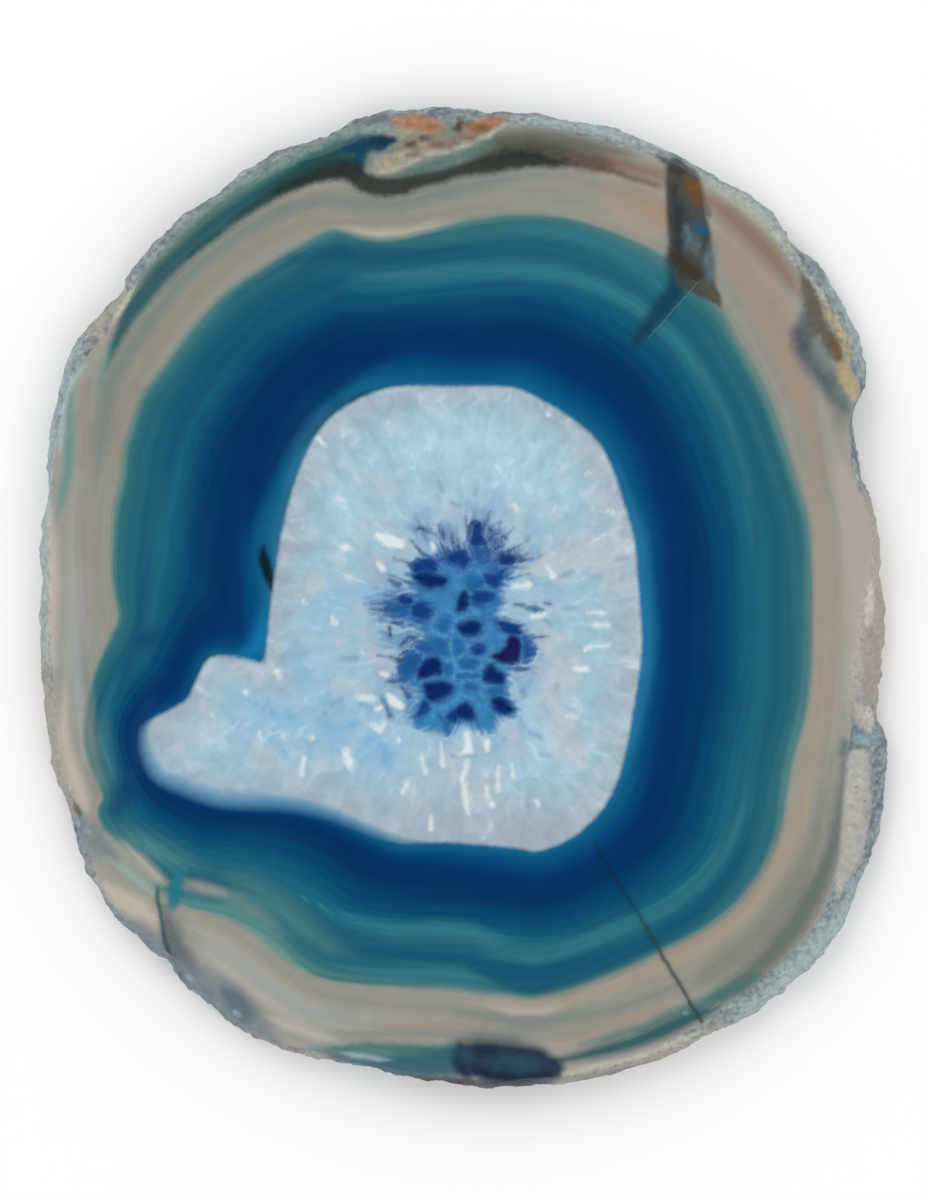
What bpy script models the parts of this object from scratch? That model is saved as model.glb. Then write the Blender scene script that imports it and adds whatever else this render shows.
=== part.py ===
"""A slice of dyed agate: a flat slab sawn from a rounded nodule and polished, with the nodule's
rough rind left round its rim and a small crystal-lined hollow, a druse, near its middle.

The slab lies on the XY plane with its show face up. The origin is on the underside, below the
middle of the outline, and +Y runs along the longer side. Lengths are in metres.
"""

import math

import bmesh
import bpy
from mathutils import Matrix, Vector, noise

MM = 0.001

# The slab's real size.
LENGTH = 120.0 * MM
WIDTH = 103.7 * MM
THICKNESS = 6.0 * MM

# The widest outline, anticlockwise from the right: x, y and how far the rind slopes in from there
# to the edge of the polished face, all in millimetres.
OUTLINE_MM = (
    (50.8, 0.0, 2.4),
    (50.0, 8.7, 0.8),
    (48.1, 15.0, 1.0),
    (47.1, 21.5, 0.5),
    (48.9, 25.3, 1.3),
    (48.6, 28.8, 2.3),
    (46.8, 34.0, 2.6),
    (43.4, 39.8, 2.6),
    (38.6, 46.0, 2.2),
    (33.0, 50.0, 1.8),
    (25.4, 54.3, 1.5),
    (17.5, 57.4, 2.2),
    (8.5, 58.9, 1.6),
    (0.0, 59.6, 1.7),
    (-5.5, 59.9, 2.3),
    (-11.0, 59.2, 2.9),
    (-17.5, 56.3, 2.5),
    (-25.0, 52.9, 2.2),
    (-33.2, 47.5, 1.8),
    (-40.2, 40.8, 1.8),
    (-42.4, 36.4, 1.6),
    (-46.6, 32.3, 2.4),
    (-49.2, 28.2, 2.3),
    (-50.4, 22.5, 1.4),
    (-51.3, 13.0, 1.1),
    (-51.6, 2.0, 1.4),
    (-51.7, -9.0, 1.6),
    (-50.7, -18.4, 1.5),
    (-49.4, -23.5, 1.6),
    (-48.0, -27.6, 1.5),
    (-46.5, -32.0, 1.2),
    (-43.8, -38.0, 1.0),
    (-38.5, -43.0, 1.3),
    (-33.2, -48.2, 1.2),
    (-28.5, -52.4, 1.2),
    (-21.0, -55.9, 1.0),
    (-14.5, -57.2, 1.0),
    (-6.0, -59.3, 1.1),
    (5.0, -60.0, 1.0),
    (15.5, -58.8, 1.2),
    (25.5, -55.9, 1.8),
    (35.2, -50.8, 2.9),
    (43.6, -43.8, 3.1),
    (48.8, -34.0, 3.6),
    (50.9, -26.5, 4.8),
    (51.4, -18.5, 5.0),
    (50.2, -13.4, 3.5),
    (50.7, -8.0, 3.8),
)
OUTLINE_SIDES = 264

# The rind's section: it bulges from the polished edge out to the belly, the slab's widest level,
# and turns in again to the sawn underside.
BELLY_HEIGHT = 2.2 * MM
SHOULDER_START = math.radians(28)
SHOULDER_LEVELS = 7
UNDER_LEVELS = 3
UNDER_INSET = 0.8 * MM
UNDER_INSET_SHARE = 0.2

# The rind's relief: broad lumps, flat-topped ledges where layers broke away, round pits and grain.
LUMP_SPACING = 6.0 * MM
LUMP_HEIGHT = 0.5 * MM
LEDGE_SPACING = 3.6 * MM
LEDGE_HEIGHT = 0.9 * MM
LEDGE_STEPS = 4
LEDGE_SHIFT = Vector((7.0, 3.0, 1.0))
PIT_SPACING = 2.4 * MM
PIT_REACH = 0.45
PIT_DEPTH = 0.5 * MM
GRAIN_SPACING = 1.3 * MM
GRAIN_HEIGHT = 0.4 * MM
EDGE_RELIEF = 0.4
LEVEL_WANDER = 0.3 * MM
WANDER_SPACING = 2.2 * MM

# Shell-shaped chips knocked out of the rim: centre x, y, z, radius and depth in millimetres.
CHIPS_MM = (
    (48.6, 18.6, 5.4, 3.4, 0.6),
    (50.0, 12.0, 5.6, 2.6, 0.5),
    (50.6, -14.8, 4.4, 2.6, 0.5),
    (-42.6, 37.6, 4.6, 3.0, 0.5),
    (-49.0, -26.4, 5.2, 3.4, 0.6),
    (-30.8, -50.8, 5.4, 3.2, 0.5),
    (-11.0, -59.4, 1.2, 3.6, 0.5),
    (40.6, 44.2, 1.0, 3.8, 0.6),
)

# The hollow in the show face that the druse lines, anticlockwise, in millimetres.
HOLLOW_MM = (
    (9.6, -2.0),
    (8.8, 2.8),
    (7.6, 7.0),
    (4.4, 9.8),
    (0.4, 10.6),
    (-4.0, 9.8),
    (-7.0, 6.8),
    (-8.8, 3.0),
    (-9.9, -1.0),
    (-8.9, -5.4),
    (-8.5, -10.4),
    (-7.4, -15.0),
    (-2.8, -16.9),
    (2.4, -16.8),
    (7.0, -15.4),
    (8.9, -10.6),
    (9.3, -6.0),
)
HOLLOW_SIDES = 48
HOLLOW_DEPTH = 3.4 * MM
HOLLOW_TAPER = 1.3 * MM
FIT_GAP = 0.3 * MM
CUT_CLEARANCE = 1.0 * MM

# Where the saw only grazed the crystals their tops lie a little lower, in a dish: its middle,
# its half width and half length at the face, and its depth.
DISH_CENTRE_MM = (-0.1, -3.4)
DISH_HALF_MM = (7.9, 12.2)
DISH_DEPTH = 0.6 * MM
DISH_SIDES = 13
DISH_FLOOR_SHARE = 0.8

# Gaps between the crystals, each a many-sided pit that narrows downwards: centre x, y, then width
# and length at the dish's floor in millimetres, turn in degrees, number of crystal faces round it,
# and depth under the dish's floor in millimetres.
PITS_MM = (
    (-3.8, 2.4, 4.0, 2.6, -8, 6, 1.9),
    (3.9, 2.5, 2.8, 2.6, 10, 5, 1.7),
    (-0.2, -0.1, 1.9, 3.2, -10, 6, 1.6),
    (2.6, -0.3, 2.9, 2.0, 12, 5, 1.4),
    (1.4, 2.4, 1.9, 1.8, 20, 5, 0.9),
    (-5.4, -1.4, 2.8, 2.8, 15, 5, 1.7),
    (0.9, -3.6, 3.7, 2.4, 5, 6, 1.7),
    (1.5, -6.3, 2.3, 1.9, 0, 6, 1.4),
    (0.7, -8.9, 2.8, 1.5, 0, 5, 1.0),
    (6.1, -6.3, 3.4, 4.2, -30, 6, 1.9),
    (5.5, -2.8, 3.0, 1.8, -25, 5, 1.4),
    (4.0, -9.8, 3.1, 2.7, -35, 5, 1.7),
    (5.0, -13.1, 3.3, 2.8, -25, 5, 1.7),
    (0.5, -13.6, 3.9, 3.7, 90, 3, 1.8),
    (-3.2, -11.9, 4.2, 3.5, 0, 5, 1.9),
    (-3.8, -8.4, 3.7, 2.7, 25, 6, 1.8),
    (-2.5, -3.0, 1.9, 2.1, 0, 5, 1.1),
    (-0.7, 5.2, 3.0, 2.3, -20, 5, 1.6),
    (1.9, 7.6, 2.0, 3.2, -12, 5, 1.4),
    (-4.6, 5.4, 2.2, 1.7, 20, 4, 1.1),
    (-5.4, -14.4, 1.7, 2.3, -30, 4, 1.1),
    (-6.6, -10.0, 1.5, 2.2, 10, 4, 1.1),
    (-7.9, -0.9, 2.2, 1.1, 8, 4, 0.9),
    (-5.8, -5.0, 2.4, 1.5, 30, 4, 1.1),
    (7.4, -1.8, 1.8, 1.2, 10, 4, 0.9),
    (-2.3, -15.1, 1.5, 1.4, 45, 4, 0.9),
    (-3.7, 7.9, 1.4, 1.8, 15, 4, 0.9),
    (-1.4, 8.2, 1.2, 1.9, 5, 4, 0.9),
    (5.0, 5.8, 2.2, 1.5, 35, 4, 1.0),
    (7.0, -10.4, 1.7, 1.3, 5, 4, 0.9),
    (2.9, -15.1, 1.3, 1.0, 0, 4, 0.8),
    (-1.6, -5.9, 1.8, 1.6, 15, 5, 0.8),
)
PIT_FLOOR_SHARE = 0.22

# Crystals whose pointed ends stand on the dish, between the gaps: x, y and width in millimetres,
# turn in degrees, and how far the tip lies below the show face in millimetres.
POINTS_MM = (
    (-2.2, 0.7, 2.6, 10, 0.05),
    (0.9, 0.9, 2.0, 25, 0.15),
    (-1.2, 2.7, 2.2, 40, 0.1),
    (1.3, 4.9, 2.8, 5, 0.05),
    (-3.0, 4.1, 1.9, 20, 0.15),
    (5.9, 0.4, 2.6, 15, 0.05),
    (4.0, -1.6, 1.8, 50, 0.15),
    (-3.6, -4.8, 3.0, 30, 0.05),
    (-0.4, -7.6, 2.4, 12, 0.1),
    (3.1, -4.9, 2.4, 35, 0.05),
    (3.4, -7.4, 2.0, 0, 0.15),
    (-0.8, -10.2, 2.6, 22, 0.05),
    (2.1, -11.4, 2.6, 48, 0.1),
    (-5.9, -7.2, 1.9, 15, 0.15),
    (-5.9, -12.4, 2.0, 28, 0.1),
    (6.6, -8.9, 2.0, 8, 0.1),
    (-6.9, 0.9, 2.4, 33, 0.1),
    (-7.2, -3.1, 2.2, 5, 0.1),
    (3.7, 7.3, 2.2, 18, 0.1),
    (-2.9, 6.6, 2.0, 42, 0.15),
    (6.4, 3.2, 2.0, 26, 0.05),
    (7.6, -4.2, 1.8, 52, 0.15),
    (-5.9, 4.4, 2.0, 12, 0.1),
    (0.3, 8.8, 1.4, 20, 0.1),
    (2.4, -14.2, 1.8, 10, 0.15),
    (-1.4, -4.6, 1.8, 50, 0.2),
)
POINT_SIDES = 6
POINT_ROOT = 0.12 * MM

CURVE_STEPS = 12
SMOOTH_ANGLE = math.radians(18)

AGATE_COLOUR = (0.016, 0.115, 0.235, 1.0)
AGATE_ROUGHNESS = 0.18
CRYSTAL_COLOUR = (0.045, 0.215, 0.500, 1.0)
CRYSTAL_ROUGHNESS = 0.25


def clear_scene():
    for obj in list(bpy.data.objects):
        bpy.data.objects.remove(obj)


def new_collection(name, parent, helpers=False):
    """A collection, whose objects only help to make others when helpers is set."""
    made = bpy.data.collections.new(name)
    made.hide_render = helpers
    parent.children.link(made)
    return made


def new_object(name, bm, collection, helper=False):
    """An object that holds the bmesh, which is then freed."""
    mesh = bpy.data.meshes.new(name)
    bmesh.ops.recalc_face_normals(bm, faces=bm.faces)
    bm.to_mesh(mesh)
    bm.free()
    obj = bpy.data.objects.new(name, mesh)
    collection.objects.link(obj)
    if helper:
        obj.hide_render = True
        obj.display_type = "WIRE"
    return obj


def stone_material(name, colour, roughness):
    material = bpy.data.materials.new(name)
    material.use_nodes = True
    shader = material.node_tree.nodes["Principled BSDF"]
    shader.inputs["Base Color"].default_value = colour
    shader.inputs["Roughness"].default_value = roughness
    shader.inputs["Metallic"].default_value = 0.0
    return material


def add_boolean(obj, operation, other=None, collection=None):
    modifier = obj.modifiers.new(operation.title(), "BOOLEAN")
    modifier.operation = operation
    modifier.solver = "EXACT"
    if collection:
        modifier.operand_type = "COLLECTION"
        modifier.collection = collection
    else:
        modifier.object = other


def spline_place(before, start, end, after, share):
    """A point between start and end on the smooth curve through all four."""
    return 0.5 * (
        2 * start
        + (end - before) * share
        + (2 * before - 5 * start + 4 * end - after) * share**2
        + (3 * start - before - 3 * end + after) * share**3
    )


def closed_curve(points, count):
    """count places, evenly spaced, on a smooth closed curve through points (vectors of 3 numbers).

    The spacing is measured over x and y, and the third number runs smoothly along with them.
    """
    total = len(points)
    fine = []
    for i in range(total):
        around = [points[(i + k) % total] for k in (-1, 0, 1, 2)]
        fine += [spline_place(*around, step / CURVE_STEPS) for step in range(CURVE_STEPS)]
    reach = [0.0]
    for i, place in enumerate(fine):
        reach.append(reach[-1] + (fine[(i + 1) % len(fine)] - place).xy.length)
    places = []
    i = 0
    for k in range(count):
        wanted = reach[-1] * k / count
        while reach[i + 1] < wanted:
            i += 1
        share = (wanted - reach[i]) / (reach[i + 1] - reach[i])
        places.append(fine[i].lerp(fine[(i + 1) % len(fine)], share))
    return places


def outward_directions(places):
    """The level direction straight out of an anticlockwise closed curve at each of its places."""
    found = []
    for i, _ in enumerate(places):
        along = (places[(i + 1) % len(places)] - places[i - 1]).xy.normalized()
        found.append(Vector((along.y, -along.x, 0.0)))
    return found


def loft(rings):
    """A closed body through rings of equally many places, with a flat face at each end."""
    bm = bmesh.new()
    rows = [[bm.verts.new(place) for place in ring] for ring in rings]
    for lower, upper in zip(rows, rows[1:]):
        for i, corner in enumerate(lower):
            bm.faces.new((lower[i - 1], corner, upper[i], upper[i - 1]))
    bm.faces.new(rows[0])
    bm.faces.new(rows[-1])
    return bm


def rind_levels():
    """Each ring's height, its share of the way out to the belly, and its share of the relief.

    The rings run from the underside to the polished face. Above the belly they follow the arc that
    a saw leaves where it crosses a round nodule off its middle.
    """
    levels = []
    for i in range(UNDER_LEVELS):
        share = i / UNDER_LEVELS
        relief = EDGE_RELIEF + (1 - EDGE_RELIEF) * share
        levels.append((BELLY_HEIGHT * share, -((1 - share) ** 2), relief))
    drop = THICKNESS - BELLY_HEIGHT
    for i in range(SHOULDER_LEVELS + 1):
        turn = math.pi / 2 + (SHOULDER_START - math.pi / 2) * i / SHOULDER_LEVELS
        out = (math.sin(turn) - math.sin(SHOULDER_START)) / (1 - math.sin(SHOULDER_START))
        rise = math.cos(turn) / math.cos(SHOULDER_START)
        relief = 1 - (1 - EDGE_RELIEF) * rise**3
        levels.append((BELLY_HEIGHT + drop * rise, out, relief))
    return levels


def smooth_step(share):
    """Turns an even climb from 0 to 1 into one that starts and ends level."""
    return share**3 * (share * (6 * share - 15) + 10)


def rind_relief(place):
    """How far the rind stands out at a place: lumps and ledges, less pits and chips."""
    lump = LUMP_HEIGHT * noise.noise(place / LUMP_SPACING)
    layers = LEDGE_STEPS * (0.5 + 0.5 * noise.noise(place / LEDGE_SPACING + LEDGE_SHIFT))
    climb = layers - math.floor(layers)
    layers += smooth_step(climb) - climb
    ledge = LEDGE_HEIGHT * (layers / LEDGE_STEPS - 0.5)
    nearest = noise.voronoi(place / PIT_SPACING)[0][0]
    pit = PIT_DEPTH * max(0.0, 1 - nearest / PIT_REACH)
    grain = GRAIN_HEIGHT * noise.noise(place / GRAIN_SPACING)
    chipped = 0.0
    for x, y, z, radius, depth in CHIPS_MM:
        away = (place - Vector((x, y, z)) * MM).length / (radius * MM)
        chipped += depth * MM * math.sqrt(max(0.0, 1 - away**2))
    return lump + ledge + grain - pit - chipped


def fit_to_size(rings):
    """Scales and moves the rings a little, so that their widest outline is the real size."""
    xs = [place.x for ring in rings for place in ring]
    ys = [place.y for ring in rings for place in ring]
    middle = Vector(((min(xs) + max(xs)) / 2, (min(ys) + max(ys)) / 2, 0.0))
    scale = Vector((WIDTH / (max(xs) - min(xs)), LENGTH / (max(ys) - min(ys)), 1.0))
    return [[(place - middle) * scale for place in ring] for ring in rings]


def slab_blank():
    """The slab with its rough rim, before the hollow is cut."""
    widest = closed_curve([Vector(point) * MM for point in OUTLINE_MM], OUTLINE_SIDES)
    outward = outward_directions(widest)
    rings = []
    for height, out, relief in rind_levels():
        ring = []
        for edge, direction in zip(widest, outward):
            slope = edge.z
            if out < 0:
                inset = -out * (UNDER_INSET + UNDER_INSET_SHARE * slope)
            else:
                inset = (1 - out) * slope
            place = Vector((edge.x, edge.y, height)) - direction * inset
            if 0 < height < THICKNESS:
                place.z += LEVEL_WANDER * noise.noise(place / WANDER_SPACING)
            ring.append(place + direction * relief * rind_relief(place))
        rings.append(ring)
    return loft(fit_to_size(rings))


def hollow_shape(inset, floor, top):
    """The hollow's tapering form, shrunk by inset all round, between two heights."""
    edge = closed_curve([Vector((x, y, 0.0)) * MM for x, y in HOLLOW_MM], HOLLOW_SIDES)
    outward = outward_directions(edge)
    rings = []
    for height in (floor, top):
        taper = HOLLOW_TAPER * (THICKNESS - height) / HOLLOW_DEPTH
        shrink = inset + taper
        lift = Vector((0.0, 0.0, height))
        rings.append([place - way * shrink + lift for place, way in zip(edge, outward)])
    return loft(rings)


def tapered_cutter(sides, size, floor_share, floor, mouth, turn):
    """A many-sided cutter that narrows downwards, of the given size at the mouth's height.

    It reaches from its floor to just over the show face.
    """
    top = THICKNESS + CUT_CLEARANCE
    top_share = floor_share + (1 - floor_share) * (top - floor) / (mouth - floor)
    bm = bmesh.new()
    bmesh.ops.create_cone(
        bm,
        cap_ends=True,
        segments=sides,
        radius1=floor_share / 2,
        radius2=top_share / 2,
        depth=top - floor,
    )
    form = (
        Matrix.Translation((0.0, 0.0, (floor + top) / 2))
        @ Matrix.Diagonal((size[0], size[1], 1.0, 1.0))
        @ Matrix.Rotation(turn, 4, "Z")
    )
    bmesh.ops.transform(bm, matrix=form, verts=bm.verts)
    return bm


def dish_cutter(collection):
    size = [2 * half * MM for half in DISH_HALF_MM]
    floor = THICKNESS - DISH_DEPTH
    bm = tapered_cutter(DISH_SIDES, size, DISH_FLOOR_SHARE, floor, THICKNESS, 0.0)
    obj = new_object("dish_cutter", bm, collection, helper=True)
    obj.location = Vector((*DISH_CENTRE_MM, 0.0)) * MM
    return obj


def add_crystal_points(collection):
    """The pointed ends of the crystals, as six-sided pyramids rooted in the dish's floor."""
    root = THICKNESS - DISH_DEPTH - POINT_ROOT
    for i, (x, y, width, turn, drop) in enumerate(POINTS_MM):
        height = THICKNESS - drop * MM - root
        slope_share = height / (height - POINT_ROOT)
        bm = bmesh.new()
        bmesh.ops.create_cone(
            bm,
            cap_ends=True,
            segments=POINT_SIDES,
            radius1=slope_share * width * MM / 2,
            radius2=0.0,
            depth=height,
        )
        obj = new_object(f"crystal_point_{i}", bm, collection, helper=True)
        obj.location = (x * MM, y * MM, root + height / 2)
        obj.rotation_euler.z = math.radians(turn)


def add_pit_cutters(collection):
    mouth = THICKNESS - DISH_DEPTH
    for i, (x, y, width, length, turn, sides, depth) in enumerate(PITS_MM):
        size = (width * MM, length * MM)
        floor = mouth - depth * MM
        bm = tapered_cutter(sides, size, PIT_FLOOR_SHARE, floor, mouth, math.radians(turn))
        obj = new_object(f"pit_cutter_{i}", bm, collection, helper=True)
        obj.location = Vector((x, y, 0.0)) * MM


def finish(obj, material):
    obj.data.materials.append(material)
    obj.data.shade_smooth()
    obj.data.set_sharp_from_angle(angle=SMOOTH_ANGLE)


def build():
    clear_scene()
    scene_root = bpy.context.scene.collection
    parts = new_collection("Agate slice", scene_root)
    cutters = new_collection("Cutters", scene_root, helpers=True)
    pits = new_collection("Pit cutters", cutters, helpers=True)
    points = new_collection("Crystal points", cutters, helpers=True)

    hollow_floor = THICKNESS - HOLLOW_DEPTH
    hollow = hollow_shape(0.0, hollow_floor, THICKNESS + CUT_CLEARANCE)
    hollow_cutter = new_object("hollow_cutter", hollow, cutters, helper=True)
    slab = new_object("agate_slice", slab_blank(), parts)
    add_boolean(slab, "DIFFERENCE", other=hollow_cutter)
    finish(slab, stone_material("Dyed polished agate", AGATE_COLOUR, AGATE_ROUGHNESS))

    add_crystal_points(points)
    add_pit_cutters(pits)
    crust = hollow_shape(FIT_GAP, hollow_floor + FIT_GAP, THICKNESS)
    druse = new_object("druse_crystals", crust, parts)
    add_boolean(druse, "DIFFERENCE", other=dish_cutter(cutters))
    add_boolean(druse, "UNION", collection=points)
    add_boolean(druse, "DIFFERENCE", collection=pits)
    finish(druse, stone_material("Dyed quartz crystals", CRYSTAL_COLOUR, CRYSTAL_ROUGHNESS))


build()
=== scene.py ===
"""Looks of a blue-dyed agate slice: polished bands round a quartz middle, a druse and a rough rind.

Places on the show face have x to the right and y up as the slice is seen from above, from the
middle of its outline. Markings give them in tenths of a millimetre, names that end in _MM in
millimetres, and everything that is built in metres.
"""

import logging
import math
from dataclasses import dataclass, field
from enum import Enum

import bmesh
import bpy
import numpy as np
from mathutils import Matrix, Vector, noise
from mathutils.bvhtree import BVHTree


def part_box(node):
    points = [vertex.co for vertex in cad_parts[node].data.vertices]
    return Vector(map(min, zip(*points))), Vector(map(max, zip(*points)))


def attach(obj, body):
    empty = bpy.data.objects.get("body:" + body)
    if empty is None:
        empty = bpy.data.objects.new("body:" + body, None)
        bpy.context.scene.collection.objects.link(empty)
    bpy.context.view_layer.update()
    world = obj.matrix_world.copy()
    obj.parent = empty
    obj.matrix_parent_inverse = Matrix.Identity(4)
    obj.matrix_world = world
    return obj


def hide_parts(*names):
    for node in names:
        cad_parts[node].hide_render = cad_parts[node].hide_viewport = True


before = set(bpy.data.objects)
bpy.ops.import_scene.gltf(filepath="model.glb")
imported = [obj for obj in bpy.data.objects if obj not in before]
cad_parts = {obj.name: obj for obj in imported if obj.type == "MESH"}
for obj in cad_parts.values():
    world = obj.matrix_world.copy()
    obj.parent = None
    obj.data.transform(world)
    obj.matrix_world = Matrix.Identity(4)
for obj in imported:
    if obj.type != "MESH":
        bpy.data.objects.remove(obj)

MM = 0.001
TENTHS = 10
BODY = "root"
Path = tuple[float, ...]
Array = np.ndarray
Socket = bpy.types.NodeSocket

log = logging.getLogger("agate slice")

# Where the growth of the crystals is centred: the middle of the druse.
HEART_MM = (0.0, -3.2)

# How far up the stone the druse's long middle runs, at which its crystals point.
DRUSE_SPAN_MM = (-11.0, 2.0)

# Farther than any marking or gap reaches.
FAR_MM = 9.0

# Quartz bends light by this much.
QUARTZ_IOR = 1.54

# Where the quartz middle ends and the dyed bands begin, clockwise from the top.
QUARTZ_EDGE = (
    -77, 255, -16, 255, 57, 254, 93, 239, 130, 217, 159, 192, 177, 162, 192, 119, 206, 70, 211, 15,
    215, -40, 214, -76, 207, -124, 199, -171, 188, -215, 173, -248, 155, -270, 130, -291, 93, -306,
    57, -302, -16, -296, -71, -295, -108, -284, -162, -262, -217, -251, -290, -248, -338, -233, -374, -215,
    -388, -178, -382, -153, -357, -138, -334, -124, -321, -96, -309, -76, -294, -72, -266, -76, -243, -81,
    -239, -70, -235, -33, -231, 4, -221, 70, -206, 132, -187, 180, -162, 216, -120, 243,
)

# Where the dye stops at the pale layers, clockwise from the top.
DYE_EDGE = (
    -16, 451, 44, 461, 75, 462, 130, 457, 184, 440, 239, 414, 276, 383, 312, 349, 334, 309, 363, 257,
    385, 199, 407, 132, 418, 88, 422, 15, 423, -40, 422, -94, 414, -149, 400, -197, 392, -240, 385, -288,
    363, -343, 330, -383, 276, -419, 203, -448, 148, -474, 93, -486, 38, -481, -16, -474, -89, -470,
    -162, -463, -199, -445, -235, -412, -284, -386, -341, -372, -382, -344, -433, -288, -444, -259,
    -438, -246, -440, -233, -455, -197, -462, -167, -458, -131, -447, -91, -429, -51, -418, -25, -422, 3,
    -425, 33, -424, 70, -422, 106, -414, 143, -411, 180, -403, 204, -389, 243, -363, 279, -327, 327,
    -290, 367, -235, 403, -181, 436, -148, 447, -119, 438, -89, 436, -53, 444,
)

# How much farther in or out the dye's tones lie at each angle round the heart, as a share of the
# dyed bands' width: below nought they lie farther out, so that the stone is darker there.
DYE_SHIFT = (
    (0, 0), (40, -0.04), (90, -0.02), (125, -0.18), (150, -0.13), (180, -0.02), (205, 0.09),
    (225, 0.2), (250, 0.05), (275, -0.02), (300, -0.05), (330, -0.02),
)


class Zone(Enum):
    """The parts of the slab's surface, and the material slot of each."""

    MIDDLE = 0
    BANDS = 1
    EDGE = 2
    PALE = 3
    RIND = 4


@dataclass(frozen=True)
class Stain:
    """A marking in the stone: one colour laid down along one or more paths.

    Attributes:
        name: What it is, and the name of the attribute that says how deep inside it a place is.
        colour: Its sRGB colour.
        paths: For each path, the x, y and half width of each place, in tenths of a millimetre.
        soft: How far it fades out on each side of its edge, in millimetres.
        ragged: How far its edge wanders in and out, in millimetres.
        streak: How far its edge wanders from one thin layer of the stone to the next.
        strength: How much of the stone's own colour it covers, from 0 to 1.
        grain: How much its brightness varies from crystal to crystal, from 0 to 1.
    """

    name: str
    colour: str
    paths: tuple[Path, ...]
    soft: float = 0.8
    ragged: float = 0.1
    streak: float = 0.0
    strength: float = 0.85
    grain: float = 0.0

    def depth(self, places: Array) -> Array:
        """How deep inside the marking each place is.

        Args:
            places: Places on the face in millimetres, one row each.

        Returns:
            The depth in millimetres, negative outside the marking.
        """
        deepest = np.full(len(places), -1e3)
        for path in self.paths:
            knots = np.array(path).reshape(-1, 3) / TENTHS
            for (ax, ay, start), (bx, by, end) in zip(knots, knots[1:]):
                along = np.array((bx - ax, by - ay))
                off = places - (ax, ay)
                share = np.clip(off @ along / (along @ along), 0, 1)
                away = np.hypot(*(off - share[:, None] * along).T)
                deepest = np.maximum(deepest, start + (end - start) * share - away)
        return deepest

    @property
    def margin(self) -> float:
        """How far outside its edge the marking may still show, in millimetres."""
        return self.soft + self.ragged + self.streak


@dataclass(frozen=True)
class Gaps(Stain):
    """Gaps between the druse's crystals that look alike, or crystals of one colour.

    Its paths are the gaps' outlines: the x and y of each one's corners, in order round it.

    Attributes:
        deep: How far its floor lies below the crystals' tops, in millimetres.
        spiky: How far the crystals round it reach into it, in millimetres.
    """

    deep: float = 0.0
    spiky: float = 0.0

    def insides(self, places: Array) -> list[Array]:
        """How far inside each gap every place is, in millimetres, gap after gap."""
        return [-distance_outside(places, smooth_outline(path, 4)) for path in self.paths]

    def depth(self, places: Array) -> Array:
        """How far inside the nearest gap each place is, in millimetres, as for a Stain."""
        deepest = np.max(self.insides(places), axis=0)
        height = np.clip(places[:, 1], *DRUSE_SPAN_MM)
        turn = np.arctan2(places[:, 1] - height, places[:, 0])
        out = np.hypot(places[:, 0], places[:, 1] - height)
        wave = np.sin(29 * turn + 4.7 * height + 2.2 * np.sin(7 * turn + 1.1 * out + height))
        wave += np.sin(47 * turn - 8.1 * height + 1.8 * np.sin(1.7 * out + 5 * turn))
        return deepest + self.spiky * 0.5 * wave


@dataclass(frozen=True)
class Fracture:
    """A healed crack across the bands: a thin line with a shade along both sides.

    Attributes:
        start: Its first end in millimetres.
        end: Its other end in millimetres.
        width: How wide the line is, in millimetres.
        colour: The line's sRGB colour.
        strength: How much of the stone the line covers, from 0 to 1.
        shade: How wide the shade beside it is, in millimetres.
        shade_strength: How dark the shade is, from 0 to 1.
    """

    start: tuple[float, float]
    end: tuple[float, float]
    width: float
    colour: str
    strength: float
    shade: float
    shade_strength: float


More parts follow.
